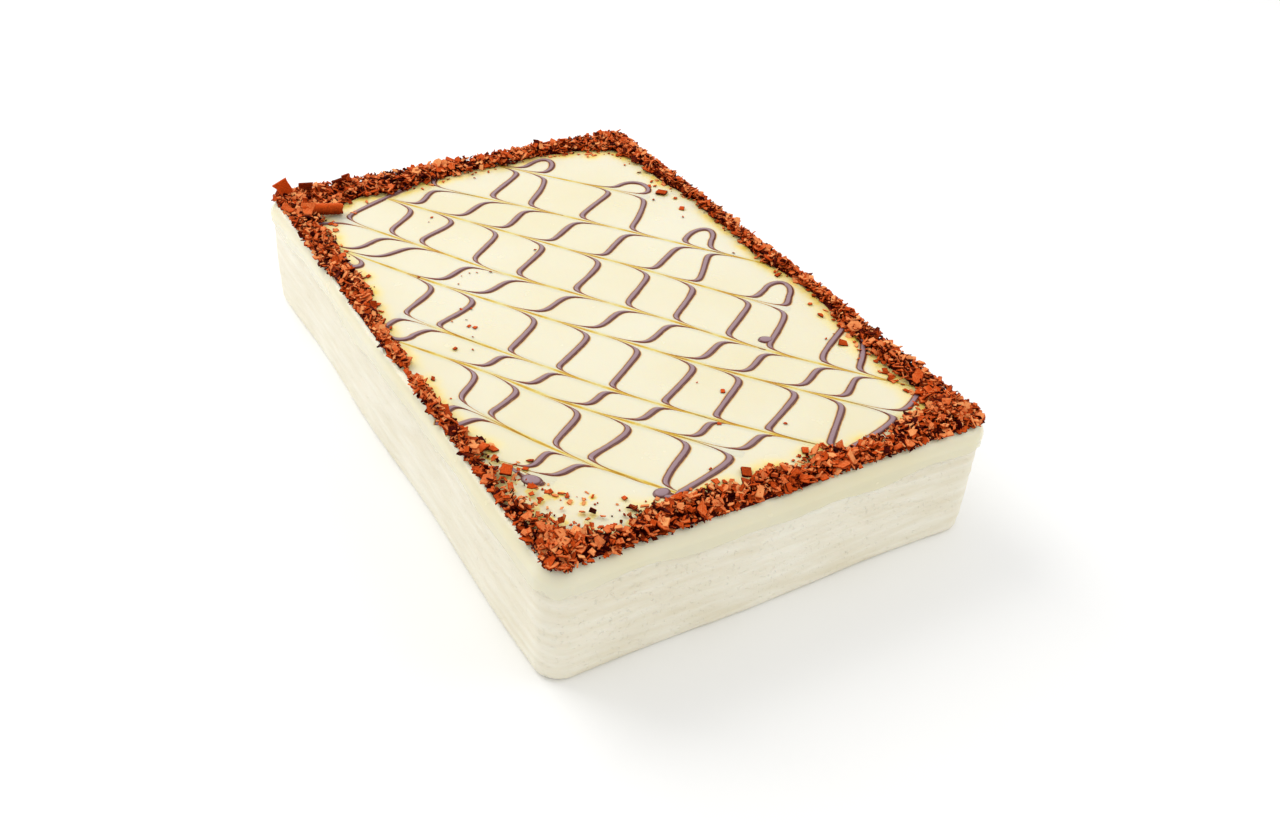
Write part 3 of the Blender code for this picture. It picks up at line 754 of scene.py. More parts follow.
lineForm = {
    # places over the half width, from one edge to the other
    "shares": (-1.6, -1.25, -1.0, -0.84, -0.5, 0.0, 0.5, 0.84, 1.0, 1.25, 1.6),
    "swell": 0.16,
    "swellGrain": 70,
    "flattening": 0.6,
    "roundness": 2.6,
    "thinFrom": 3.0 * mm,
    "bleedHeight": 0.06 * mm,
    "bleedReach": 1.8,
    "bleedLost": 0.9,
    # painted shade: how much further the edge on the shaded side runs into the dark flank colour
    "sideShade": 0.25,
    "rootMark": 0.95,
}
paintedShadeSide = Vector((0.60, -0.80))  # the side on which painted shade darkens the edges of the lines and drops most


def lineSection(path, index):
    # closed cross-section at one point of the path, with its edge and thinness marks
    shares = lineForm["shares"]
    before, after = path[max(index - 1, 0)], path[min(index + 1, len(path) - 1)]
    direction = Vector((after[0] - before[0], after[1] - before[1])).normalized()
    grain = noise.noise(Vector((path[index][0], path[index][1], 0)) * lineForm["swellGrain"])
    half = piping["width"] / 2 * (1 + lineForm["swell"] * grain)
    places = []
    for share in shares:
        along = path[index][0] - direction.y * half * share
        across = path[index][1] + direction.x * half * share
        places.append(onCake(*feathered(along, across)))
    # how wide the line is square to its course, and whether its left lies on the side of painted
    # shade
    course = Vector(onCake(*feathered(*after))) - Vector(onCake(*feathered(*before)))
    course.normalize()
    right, left = (Vector(places[shares.index(side)]) for side in (-1.0, 1.0))
    wide = abs(course.cross(left - right))
    facing = Vector((-course.y, course.x)).dot(paintedShadeSide)
    track = onKnifeTrack(*path[index])
    flat = min(1.0, (wide / piping["width"]) ** lineForm["flattening"])
    height = piping["height"] * flat * (1 - track)
    ring = [(*places[-1], icingLevel - piping["root"]), (*places[0], icingLevel - piping["root"])]
    edge = [lineForm["rootMark"]] * 2
    for share, place in zip(shares, places):
        rise = height * math.sqrt(max(1 - abs(share) ** lineForm["roundness"], 0.0))
        bleed = lineForm["bleedHeight"] * (lineForm["bleedReach"] - abs(share))
        rise += bleed * (1 - lineForm["bleedLost"] * track)
        ring.append((*place, icingLevel + rise))
        # painted shade: the edge on the shaded side is pushed further into the dark flank colour
        dark = lineForm["sideShade"] * share * facing if abs(share) < 1 else 0.0
        edge.append((abs(share) + dark) / edgeScale)
    thin = max(0.0, 1 - wide / lineForm["thinFrom"], track)
    return ring, edge, [thin] * len(ring)


def buildLines(material):
    path = closeSet(pipingPath())
    whole = bmesh.new()
    for run in lineRuns(path):
        rings, edges, thins = zip(*(lineSection(path, index) for index in run))
        form = wrappedSheet(rings, {"edge": edges, "thin": thins})
        closeEnds(form)
        addTo(whole, form)
    finishPiece(whole, "chocolateLines", material, smoothAngle=50)


drops = {
    "height": 0.34,
    "uneven": 0.10,
    "unevenGrain": 1.3,
    # painted shade: how much further the drop's edge on the shaded side runs into the dark flank
    # colour
    "sideShade": 0.3,
    # where the piping stopped, in mm: along, across, half width, half length, and the length's
    # heading in degrees from the cake's +X
    "places": ((-188.8, -41.5, 4.4, 6.6, -55), (-185.2, -30.3, 1.2, 5.6, -74),
               (-169.5, -108.5, 4.1, 5.4, 0), (1.7, -117.9, 4.0, 5.4, -20)),
}


def buildDrops(material):
    whole = bmesh.new()
    for along, across, halfWidth, halfLength, heading in drops["places"]:
        centre = (*onCake(along * mm, across * mm), icingLevel)
        turned = Matrix.Rotation(math.radians(heading), 3, "Z")
        form = bmesh.new()
        bmesh.ops.create_uvsphere(form, u_segments=40, v_segments=20, radius=1.0)
        edge = form.verts.layers.float.new("edge")
        form.verts.layers.float.new("thin")
        for vert in form.verts:
            # painted shade: the drop's edge on the shaded side is darker
            facing = max(0.0, (turned @ vert.co).xy.dot(paintedShadeSide))
            mark = vert.co.xy.length ** 2 * (1 + drops["sideShade"] * facing)
            vert[edge] = (mark if vert.co.z > 0 else 1.0) / edgeScale
            x, y = vert.co.xy * drops["unevenGrain"]
            uneven = 1 + drops["uneven"] * noise.noise(Vector((x, y, along)))
            vert.co = (vert.co.x * uneven * halfLength * mm, vert.co.y * uneven * halfWidth * mm,
                       vert.co.z * drops["height"] * halfWidth * mm)
        bmesh.ops.rotate(form, verts=form.verts, matrix=turned)
        bmesh.ops.translate(form, verts=form.verts, vec=centre)
        addTo(whole, form)
    finishPiece(whole, "chocolateDrops", material, smoothAngle=60)


threads = {
    "halfSpan": 3.0,
    "places": 19,
    "step": 1.2 * mm,
    "skin": 0.012 * mm,
    "lift": 0.05 * mm,
    "root": 0.3 * mm,
    "underFlakes": 4 * mm,
    "startsBefore": 2 * mm,
    "runsOn": 60 * mm,
    # past each line that the knife crossed, in mm: distance, strength, half width
    "course": (
        (-32, 0.0, 2.2), (-20, 0.20, 2.1), (-8, 0.48, 1.6), (2, 0.82, 1.2), (12, 0.66, 1.0),
        (28, 0.46, 1.1), (50, 0.36, 1.2), (90, 0.27, 1.2), (150, 0.18, 1.0),
    ),
    "fade": (0.2, 1.7),  # half widths between which a trace ends on its sides
    "streaks": 0.45,
    "streakGrain": (2.1, 0.02),
    "strokeEnds": (8 * mm, 12 * mm),  # how far past a stroke's ends it is still met
}


def crossingsOf(drag):
    # where this drag met the strokes, as places across before it moved them
    low, high = drag["touches"]
    before, past = threads["strokeEnds"]
    found = []
    for stroke in piping["strokes"]:
        across = stroke[len(stroke) // 2][1] * mm
        for attempt in range(6):  # each comes closer to where the two lines meet
            along = knifeAt(drag, across)[0]
            across = curveAt(stroke, along / mm)[0] * mm
        reaches = stroke[0][0] * mm - before < along < stroke[-1][0] * mm + past
        if reaches and low * mm <= across <= high * mm:
            found.append(across)
    return found


def smearAt(drag, crossings, across, offset):
    # strongest of the traces that the crossed lines leave here, with streaks along the drag
    amount = 0.0
    course = threads["course"]
    for crossing in crossings:
        past = ((across - crossing) * drag["direction"] - knife["reach"]) / mm
        if not course[0][0] < past < course[-1][0]:
            continue
        strength = curveAt([(place, value) for place, value, width in course], past)[0]
        half = curveAt([(place, width) for place, value, width in course], past)[0]
        spread = fadeOut(*(part * half for part in threads["fade"]), abs(offset))
        amount = max(amount, strength * spread)
    sideways, onward = threads["streakGrain"]
    streak = noise.noise(Vector((offset * sideways, across / mm * onward, drag["touches"][1])))
    return amount * (1 + threads["streaks"] * streak)


def threadRing(drag, crossings, paintedShadeAt, across):
    # closed cross-section of the knife's track here, with its smear marks and its marks of painted
    # shade from the flakes
    halfSpan, last = threads["halfSpan"], threads["places"] - 1
    along, lean = knifeAt(drag, across)
    ring, smear, paintedshade = [], [], []
    for index in range(last + 1):
        offset = halfSpan * (2 * index / last - 1)
        x, y = onCake(along + offset * mm, across - lean * offset * mm)
        rise = threads["lift"] * (1 - (offset / halfSpan) ** 2)
        ring.append((x, y, icingLevel + threads["skin"] + rise))
        smear.append(smearAt(drag, crossings, across, offset))
        paintedshade.append(paintedShadeAt(x, y))
    for x, y, z in (ring[-1], ring[0]):
        ring.append((x, y, icingLevel - threads["root"]))
    return ring, smear + [0.0] * 2, paintedshade + [0.0] * 2


def buildThreads(material, paintedShadeAt):
    whole = bmesh.new()
    for drag in knife["drags"]:
        crossings = crossingsOf(drag)
        reach = knife["reach"] * drag["direction"]
        low = min(min(crossings), min(crossings) + reach) - threads["startsBefore"]
        high = max(max(crossings), max(crossings) + reach) + threads["startsBefore"]
        if drag["direction"] > 0:
            high += threads["runsOn"]
        else:
            low -= threads["runsOn"]
        steps = int((high - low) / threads["step"])
        rings = []
        for step in range(steps + 1):
            across = low + (high - low) * step / steps
            if onBareIcing(*onCake(knifeAt(drag, across)[0], across), threads["underFlakes"]):
                rings.append(threadRing(drag, crossings, paintedShadeAt, across))
        places, smears, paintedShades = zip(*rings)
        form = wrappedSheet(places, {"smear": smears, "paintedshade": paintedShades})
        closeEnds(form)
        addTo(whole, form)
    finishPiece(whole, "knifeThreads", material, smoothAngle=30)


coat = {
    "fineness": 10,
    # shares of the foot's radius: in from the side, up
    "foot": ((1.0, 0.0), (0.55, 0.1), (0.15, 0.45)),
    "wallSteps": 30,
    "bulgeFrom": 0.12,
    "shoulder": (90, 75, 60, 45, 30, 15, 0),  # degrees, 90 on the side and 0 on the top
    "markDepth": 0.0006,
    "marksLong": 22.0,
    "marksTall": 210.0,
    "marksRise": 0.8,
    "lumps": 60,
}


def levelRing(ring, height):
    return [(*handMade(x, y), height) for x, y in ring]


def shoulderPlace(radius, degrees):
    angle = math.radians(degrees)
    inset = cake["coatInset"] + cake["shoulder"] - radius * math.sin(angle)
    return inset, coatTop - cake["shoulder"] + radius * math.cos(angle)


def rippled(ring):
    # shallow streaks where a palette knife went round the side
    marked = []
    for x, y, z in ring:
        rise = z * coat["marksTall"] + coat["marksRise"] * math.atan2(y, x)
        streak = noise.noise(Vector((x * coat["marksLong"], y * coat["marksLong"], rise)))
        lump = noise.noise(Vector((x, y, z)) * coat["lumps"])
        inward = coat["markDepth"] * (0.7 * streak + 0.5 * lump - 0.6)
        reach = math.hypot(x, y)
        marked.append((x * (1 + inward / reach), y * (1 + inward / reach), z))
    return marked


def buildCoat(material):
    inset, foot = cake["coatInset"], cake["footRound"]
    section = [(inset + inwards * foot, up * foot) for inwards, up in coat["foot"]]
    wallTop = coatTop - cake["shoulder"]
    for step in range(coat["wallSteps"]):
        share = step / coat["wallSteps"]
        turn = coat["bulgeFrom"] + (1 - coat["bulgeFrom"]) * share
        bulge = cake["coatBulge"] * math.sin(math.pi * turn)
        section.append((inset - bulge, foot + (wallTop - foot) * share))
    section += [shoulderPlace(cake["shoulder"], degrees) for degrees in coat["shoulder"]]
    form = wrappedSheet([rippled(levelRing(cakeRing(inset, coat["fineness"]), height))
                         for inset, height in section])
    closeEnds(form)
    finishPiece(form, "creamCoat", material, "cake_body", smoothAngle=40)


icing = {
    # degrees round the shoulder, 90 on the side and 0 on the top, of its inside and outside
    "under": (0, 30, 60, 90),
    "shoulder": (87, 79, 70, 60, 50, 40, 30, 20, 12),
    # the lip's lower edge: share of its thickness, and the rise at it
    "lipEdge": ((0.0, 0.0006), (0.12, 0.0001), (0.5, -0.00015), (0.88, 0.0002), (1.0, 0.0008)),
    "lipShare": 0.6,
    # drips along the lip, each a number of waves round the cake and its phase
    "lipWaves": ((7, 0.8), (16, 2.2), (29, 5.1)),
    "lipUneven": 0.0007,
    "lipGrain": 120,
    "thinning": 0.12,  # of its swell at 70 degrees
    "rim": 0.002,
    "flatFrom": 0.062,
    "rows": 34,
}


def lipRing(inset, height):
    ring = cakeRing(inset, coat["fineness"])
    wavy = []
    for index, (x, y) in enumerate(ring):
        waves = [math.sin(2 * math.pi * count * (index / len(ring)) + phase)
                 for count, phase in icing["lipWaves"]]
        drop = cake["lipWave"] * (sum(waves) / len(waves))
        drop += icing["lipUneven"] * noise.noise(Vector((x, y, 0)) * icing["lipGrain"])
        wavy.append((*handMade(x, y), height + drop))
    return wavy


def buildIcing(material, paintedShadeAt):
    # from under the shoulder out to the lip, up over the shoulder and in over the top
    fineness, lip = coat["fineness"], cake["lipThickness"]
    lipHeight = coatTop - cake["shoulder"] - cake["lipDrop"]
    sideInset = cake["coatInset"] - cake["coatBulge"] - cake["gap"]
    innerRadius = cake["shoulder"] + cake["gap"]
    rings = []
    for degrees in icing["under"]:
        inset, height = shoulderPlace(innerRadius, degrees)
        rings.append(levelRing(cakeRing(inset, fineness), height))
    for outward, rise in icing["lipEdge"]:
        rings.append(lipRing(sideInset - outward * lip * icing["lipShare"], lipHeight + rise))
    for degrees in icing["shoulder"]:
        swell = (cake["icingThickness"] - lip) * math.cos(math.radians(degrees))
        swell *= 1 - icing["thinning"] * degrees / 70
        inset, height = shoulderPlace(innerRadius + lip + swell, degrees)
        rings.append(levelRing(cakeRing(inset, fineness), min(height, icingLevel)))
    lastInset = shoulderPlace(innerRadius + cake["icingThickness"], icing["shoulder"][-1])[0]
    outer = cakeRing(max(lastInset, heap["outerInset"]) + icing["rim"], fineness)
    inner = cakeRing(icing["flatFrom"], fineness)
    rows = icing["rows"]
    for row in range(rows + 1):
        rings.append(levelRing(between(outer, inner, row / rows), icingLevel))
    paintedShades = [[0.0] * len(ring) for ring in rings]
    # painted shade and bounced light from the flakes on the rows of the flat top
    for row in range(-rows - 1, -1):
        paintedShades[row] = [paintedShadeAt(x, y) for x, y, z in rings[row]]
    form = wrappedSheet(rings, {"paintedshade": paintedShades})
    closeEnds(form)
    finishPiece(form, "icingLayer", material, "icing", smoothAngle=40)


border = {
    "seed": 41,
    "edgeMargin": 0.0014,
    "cornerPull": 0.35,
    "strewnTop": 0.0935,
    # shares across the heap: where its ragged inner edge is, how many flakes lie loose beside
    # that edge, how far, from where on, and from where on they lie flat
    "ragged": (0.93, 0.16),
    "raggedGrain": 85,
    "looseShare": 0.030,
    "looseSpread": 0.10,
    "looseFrom": 1.02,
    "flatFrom": 0.97,
    # fullness under which no flake is longer than this
    "sparse": 0.5,
    "longestLoose": 0.0065,
    # shares across the heap between which flakes rise from its outer edge and sink to its
    # inner one, and the fullness between which they rise from their lower level
    "outerRise": (-0.06, 0.20),
    "innerFade": (0.75, 1.05),
    "settling": (0.2, 0.9),
    "settled": (0.45, 0.55),
    "crest": 0.75,
    # heights over the icing of loose flakes and strays, and how far they tilt in degrees
    "looseRest": 0.0003,
    "looseTilt": (0, 10),
    "strayRest": (0.0004, 0.0030),
    "strayTilt": (0, 9),
    # spread of the tip sideways in radians, and how far a tilted flake is propped up
    "tip": 0.25,
    "prop": 0.22,
    # tones: share of nearly black flakes, their tones, the others' middle, spread and least,
    # the least where flakes lie loose or thinly, and those of the strays
    "blackShare": 0.12,
    "black": (0.0, 0.15),
    "brown": (0.70, 0.20, 0.1),
    "leastLoose": 0.35,
    "thinBelow": 0.3,
    "strays": (0.28, 0.56),
    # painted shade: how much darker the flakes' lower faces and sides are
    "paintedUndersideShade": 0.55,
    # painted shade: how much darker the flakes lying deep in the heap are
    "paintedDepthShade": 0.62,
    # lengths: least, most, most common; lift: how far above the heap's level
    "kinds": {
        "flakeShards": {
            "count": 1000, "moulds": 26, "corners": (4, 4, 5, 6), "slim": (0.50, 0.90),
            "thickness": (0.06, 0.10), "lengths": (0.0055, 0.0122, 0.0075),
            "tilts": (4, 9, 14, 20, 30, 46), "lift": (0.0004, 0.0036),
        },
        "flakeChips": {
            "count": 6800, "moulds": 32, "corners": (4, 4, 5), "slim": (0.40, 0.90),
            "thickness": (0.07, 0.14), "lengths": (0.0024, 0.0072, 0.0038),
            "tilts": (4, 10, 18, 28, 42, 62), "lift": (0.0, 0.0040),
        },
        "flakeSplinters": {
            "count": 2200, "moulds": 16, "corners": (4, 5), "slim": (0.20, 0.36),
            "thickness": (0.09, 0.15), "lengths": (0.0032, 0.0090, 0.0048),
            "tilts": (4, 10, 18, 32, 55), "lift": (0.0006, 0.0034),
        },
    },
    "crumbs": {
        "count": 3600, "moulds": 12, "lengths": (0.0006, 0.0024, 0.0011),
        "tilts": (0, 20, 60), "lift": (0.0, 0.0022),
    },
}

# single pieces on the bare icing and at the heap's edge, in mm: along and across the piping,
# length
looseFlakes = (
    (-42, 143.5, 5), (-57, 134.5, 4), (-28, 114, 3), (50.5, 146, 3), (43.5, 144.5, 2),
    (122, 147.5, 3), (-24, 86.5, 2), (-14, 89.3, 2), (-8, 86.5, 2), (-5, 82.5, 2),
    (-0.5, 74.5, 3), (-52, 70.5, 4), (-48, 65, 3), (41, 60.5, 3), (152, 13, 4), (165, 11, 12),
    (172, 23.5, 5), (180, 25, 5), (136, -16, 4), (-174.2, -34, 6), (-182, -92, 5), (-63, -93, 2),
    (-65, -110, 5), (-97, -118, 4), (-139, -126, 3), (85, -103, 8), (57, -133, 5),
    (101, -66, 3), (-80, -153, 3), (19, -164, 10), (20, -153, 3), (28, -156, 2), (8, -188, 4),
    (-17, -213, 2), (46, -143, 7), (-101, -170, 8), (-112, -166, 3), (-106, -168, 3),
    (-90, -177, 4), (-134, -145, 10), (-148, -132, 7), (-91, 99, 6), (-103, 87.5, 4),
    (-128, 50, 5), (-67, 57, 4), (-94, 53, 5), (-90, 43, 3), (-67, 53, 5), (-67, 69, 2),
    (-61, 62, 2), (-77, 49.5, 2), (-141, 31.5, 2), (198, 54, 3), (148, -11, 6), (139, -41, 4),
    (88, -100, 5), (1, -195, 5), (-16, -213, 4), (162, -1, 5), (174, 20, 4), (-176, 1, 14),
    (-179, -7, 11), (-196, -17, 12), (-190, -27, 12), (-196.7, -44.8, 8), (-174, -11, 9),
    (-168, 9, 8), (-186.5, -32.5, 4), (-194, -64, 4), (-193.9, -54.2, 5), (-198, -54, 5),
    (-181.8, -34.5, 5), (-194.5, -36.5, 3), (-200.9, -34.6, 7),
    (-2, -196, 6), (-5, -201, 7), (0, -204, 6), (-8, -200, 5), (-8, -204, 5),
    (8, -189, 5), (4, -193, 5),
)


def heapSpot(draw, outer, inner):
    # a place in the heap: share from its outer to its inner edge, x, y, width of the heap
    low, swing = border["ragged"]
    while True:
        turn = draw.random()
        if draw.random() > border["looseShare"]:
            share = draw.uniform(border["outerRise"][0], 1.0)
        else:
            share = draw.gauss(1.0, border["looseSpread"])
        out, into = ringPlace(outer, turn), ringPlace(inner, turn)
        x, y = (a + (b - a) * share for a, b in zip(out, into))
        grain = Vector((x * border["raggedGrain"], y * border["raggedGrain"], 5.0))
        inHeap = share < low + swing * noise.noise(grain)
        if inHeap and draw.random() < fullness(x, y) or share > border["looseFrom"]:
            return share, x, y, math.dist(out, into)


# How unevenly a flake breaks, as least and most: its outline's turn in radians, its two
# half lengths, the size of its top face over the lower one, its corners' tones, and its warp
# and bow in shares of its length
breakage = {
    "turned": (0.6, 1.0),
    "long": (0.62, 1.15),
    "wide": (0.62, 1.20),
    "top": (0.86, 1.02),
    "shade": (-0.10, 0.10),
    "warp": (-0.012, 0.012),
    "bow": (-0.10, 0.10),
    "crumb": ((0.6, 1.25), (0.5, 1.0), (0.35, 0.8)),
}


def flakeMould(draw, kind):
    # thin slab with uneven corners, a unit long and slightly bent
    corners, slim = draw.choice(kind["corners"]), draw.uniform(*kind["slim"])
    thickness, bow = draw.uniform(*kind["thickness"]), draw.uniform(*breakage["bow"])
    form = bmesh.new()
    bmesh.ops.create_circle(form, cap_ends=True, segments=corners, radius=0.5)
    turned = Matrix.Rotation(draw.uniform(*breakage["turned"]), 3, "Z")
    bmesh.ops.rotate(form, verts=form.verts, matrix=turned)
    for vert in form.verts:
        vert.co.x *= draw.uniform(*breakage["long"])
        vert.co.y *= draw.uniform(*breakage["wide"]) * slim
    raised = bmesh.ops.extrude_face_region(form, geom=form.faces[:])["geom"]
    top = [part for part in raised if isinstance(part, bmesh.types.BMVert)]
    bmesh.ops.translate(form, verts=top, vec=(0, 0, thickness))
    for vert in top:
        vert.co.x *= draw.uniform(*breakage["top"])
        vert.co.y *= draw.uniform(*breakage["top"])
    # each corner gets a random tone, and the lower face gets painted shade so that the sides darken
    # downwards
    tonesAndPaintedShade = [draw.uniform(*breakage["shade"]) - (0.0 if vert in top else border["paintedUndersideShade"])
              for vert in form.verts]
    for vert in form.verts:
        vert.co.z += bow * (4 * vert.co.x ** 2 - 0.5) + draw.uniform(*breakage["warp"])
    bmesh.ops.triangulate(form, faces=form.faces)
    bmesh.ops.recalc_face_normals(form, faces=form.faces)
    return mouldOf(form, tonesAndPaintedShade)


def crumbMould(draw):
    form = bmesh.new()
    bmesh.ops.create_cube(form, size=0.8)
    for vert in form.verts:
        vert.co = [part * draw.uniform(*sizes) for part, sizes in zip(vert.co, breakage["crumb"])]
    bmesh.ops.triangulate(form, faces=form.faces)
    # painted shade on the crumb's lower half
    tonesAndPaintedShade = [0.0 if vert.co.z > 0 else -border["paintedUndersideShade"] for vert in form.verts]
    return mouldOf(form, tonesAndPaintedShade)


def mouldOf(form, tonesAndPaintedShade):
    places = [vert.co.copy() for vert in form.verts]
    faces = [[vert.index for vert in face.verts] for face in form.faces]
    form.free()
    return places, faces, tonesAndPaintedShade


def strewn(name, moulds, spots, material):
    # joins one copy of a mould for each spot: (mould number, matrix, tone)
    verts, faces, tones, scrapes = [], [], [], []
    for mould, matrix, tone in spots:
        places, mouldFaces, tonesAndPaintedShade = moulds[mould]
        start = len(verts)
        size = matrix.to_scale().x / mm
        verts += [matrix @ place for place in places]
        faces += [[start + index for index in face] for face in mouldFaces]
        tones += [tone + shade for shade in tonesAndPaintedShade]
        # across the flake in mm, and shifted by its tone so that they aren't marked alike
        scrapes += [place.y * size + tone * 40 for place in places]
    mesh = bpy.data.meshes.new(name)
    mesh.from_pydata(verts, [], faces)
    for label, values in (("tone", tones), ("scrape", scrapes)):
        mesh.attributes.new(label, "FLOAT", "POINT").data.foreach_set("value", values)
    placeMesh(mesh, name, material)


def keptInside(matrix, places, top):
    # moves a flake inwards until it lies within the cake's outline and under this height
    points = [matrix @ place for place in places]
    shift = Vector((0, 0, 0))
    for axis, half in ((0, cake["width"] / 2), (1, cake["length"] / 2)):
        limit = half - border["edgeMargin"]
        values = [point[axis] for point in points]
        shift[axis] = max(0.0, -limit - min(values)) - max(0.0, max(values) - limit)
    shift.z = -max(0.0, max(point.z for point in points) - top)
    radius = cake["cornerRadius"] - border["edgeMargin"]
    for point in points:
        cornerX = abs(point.x) - (cake["width"] / 2 - cake["cornerRadius"])
        cornerY = abs(point.y) - (cake["length"] / 2 - cake["cornerRadius"])
        over = math.hypot(cornerX, cornerY) - radius
        if cornerX > 0 and cornerY > 0 and over > 0:
            shift.x -= math.copysign(over * border["cornerPull"], point.x)
            shift.y -= math.copysign(over * border["cornerPull"], point.y)
    return Matrix.Translation(shift) @ matrix


bed = {
    "fineness": 14,
    "rows": 22,
    "across": (0.03, 1.01),
    "root": 0.0026,
    "crest": 0.70,
    "roughness": 0.0007,
    "fineGrain": 420,
    "finerGrain": 1100,
    "patches": 110,
    "patchiness": 0.12,
    "level": 0.0005,
    "sunk": 0.0020,
    # shares across the heap between which it rises and falls, and the fullness for its rise
    "outerRise": (0.0, 0.09),
    "innerFade": (0.70, 0.92),
    "settling": (0.60, 0.85),
}


def bedHeight(x, y, share, width):
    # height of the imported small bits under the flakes, rough as broken chocolate; it sinks
    # into the icing at its edges and where the heap is thin
    rough = noise.noise(Vector((x, y, 0)) * bed["fineGrain"])
    rough += 0.6 * noise.noise(Vector((x, y, 7)) * bed["finerGrain"])
    patch = bed["patchiness"] * noise.noise(Vector((x, y, 3)) * bed["patches"])
    rim = smoothStep(*bed["outerRise"], share) * fadeOut(*bed["innerFade"], share + patch)
    rim *= smoothStep(*bed["settling"], fullness(x, y) + patch)
    height = bed["crest"] * heapHeight(share, width) + bed["roughness"] * rough + bed["level"]
    return height * rim - bed["sunk"] * (1 - rim)


def buildBed(material):
    fineness, rows = bed["fineness"], bed["rows"]
    outer, inner = cakeRing(heap["outerInset"], fineness), heapInnerRing(fineness)
    widths = [math.dist(*edges) for edges in zip(outer, inner)]
    start, span = bed["across"]
    rings = []
    for row in range(rows + 1):
        share = start + span * row / rows
        ring = []
        for (x, y), width in zip(between(outer, inner, share), widths):
            ring.append((*handMade(x, y), icingLevel + bedHeight(x, y, share, width)))
        rings.append(ring)
    roots = [[(x, y, icingLevel - bed["root"]) for x, y, z in rings[row]] for row in (0, -1)]
    form = wrappedSheet([roots[0], *rings, roots[1]])
    bmesh.ops.bridge_loops(form, edges=looseEdges(form))
    finishPiece(form, "flakeBed", material, smoothAngle=25)


def flakeMatrix(draw, x, y, z, length, tilt):
    turn = Matrix.Rotation(draw.uniform(0, 2 * math.pi), 4, "Z")
    tip = Matrix.Rotation(tilt, 4, "Y") @ Matrix.Rotation(draw.gauss(0, border["tip"]), 4, "X")
    lift = border["prop"] * length * abs(math.sin(tilt))
    return Matrix.Translation((x, y, z + lift)) @ turn @ tip @ Matrix.Scale(length, 4)


def toneOf(draw):
    # a few flakes are nearly black, the others run from red-brown to milky
    if draw.random() < border["blackShare"]:
        return draw.uniform(*border["black"])
    middle, spread, least = border["brown"]
    return min(max(draw.gauss(middle, spread), least), 1.0)


def hidesCurl(x, y, reach):
    # the curl's open end is free of flakes
    heading = Vector((math.cos(curl["heading"]), math.sin(curl["heading"])))
    away = Vector((x, y)) - Vector(curl["place"])
    end = curl["length"] / 2
    beside = abs(away.cross(heading)) < curl["radius"] + reach
    return beside and -curl["bareFrom"] * end < away.dot(heading) < end + reach


def heapSpots(draw, moulds, kind, outer, inner):
    spots = []
    least, most = kind["lift"]
    sunk, rest = border["settled"]
    while len(spots) < kind["count"]:
        share, x, y, width = heapSpot(draw, outer, inner)
        full = fullness(x, y)
        length = draw.triangular(*kind["lengths"])
        tilt = math.radians(draw.choice(kind["tilts"]) * draw.uniform(0.7, 1.3))
        sparse = share > border["looseFrom"] or full < border["sparse"]
        if sparse and length > border["longestLoose"] or hidesCurl(x, y, length / 2):
            continue
        # lower at both edges of the heap and where it is thin, and painted darker deep down as
        # shade
        level = draw.random()
        raised = (least + (most - least) * level) * fadeOut(*border["innerFade"], share)
        raised *= 0.50 + 0.50 * smoothStep(*border["outerRise"], share)
        settled = sunk + rest * smoothStep(*border["settling"], full)
        base = icingLevel + settled * (border["crest"] * heapHeight(share, width) + raised)
        deep = (1 - level) ** 2
        loose = share > border["flatFrom"]
        if loose:
            base, deep = icingLevel + border["looseRest"], 0.0
            tilt = math.radians(draw.uniform(*border["looseTilt"]))
        mould = draw.randrange(len(moulds))
        matrix = flakeMatrix(draw, x, y, base, length, tilt)
        matrix = keptInside(matrix, moulds[mould][0], border["strewnTop"])
        tone = toneOf(draw)
        if loose or full < border["thinBelow"]:
            tone = max(tone, border["leastLoose"])
        spots.append((mould, matrix, tone - border["paintedDepthShade"] * deep))
    return spots


def straySpots(draw, moulds):
    # the single pieces: on the icing, or higher at the heap's edge
    spots = []
    for along, across, length in looseFlakes:
        x, y = onCake(along * mm, across * mm)
        tilt = math.radians(draw.uniform(*border["strayTilt"]))
        rest = border["strayRest"][0 if onBareIcing(x, y, -0.001) else 1]
        matrix = flakeMatrix(draw, x, y, icingLevel + rest, length * mm, tilt)
        spots.append((draw.randrange(len(moulds)), matrix, draw.uniform(*border["strays"])))
    return spots


def buildBorder(material, outer, inner):
    draw = random.Random(border["seed"])
    flakes = []
    for name, kind in border["kinds"].items():
        moulds = [flakeMould(draw, kind) for copy in range(kind["moulds"])]
        spots = heapSpots(draw, moulds, kind, outer, inner)
        if name == "flakeChips":
            spots += straySpots(draw, moulds)
        strewn(name, moulds, spots, material)
        flakes += spots
    moulds = [crumbMould(draw) for copy in range(border["crumbs"]["moulds"])]
    strewn("flakeCrumbs", moulds, heapSpots(draw, moulds, border["crumbs"], outer, inner), material)
    return flakes


paintedShading = {
    "leastLength": 0.0042,  # of a flake that casts painted shade
    "neighbours": 5,
    "flakeReach": 0.36,  # from its middle to its edge, in its lengths
    "foot": (0.62, 0.22),  # strength at a flake's foot, and how much less in the full heap
    "footFade": (0.0, 0.0015),
    "crowd": 0.60,
    "crowdFade": (0.003, 0.013),
}


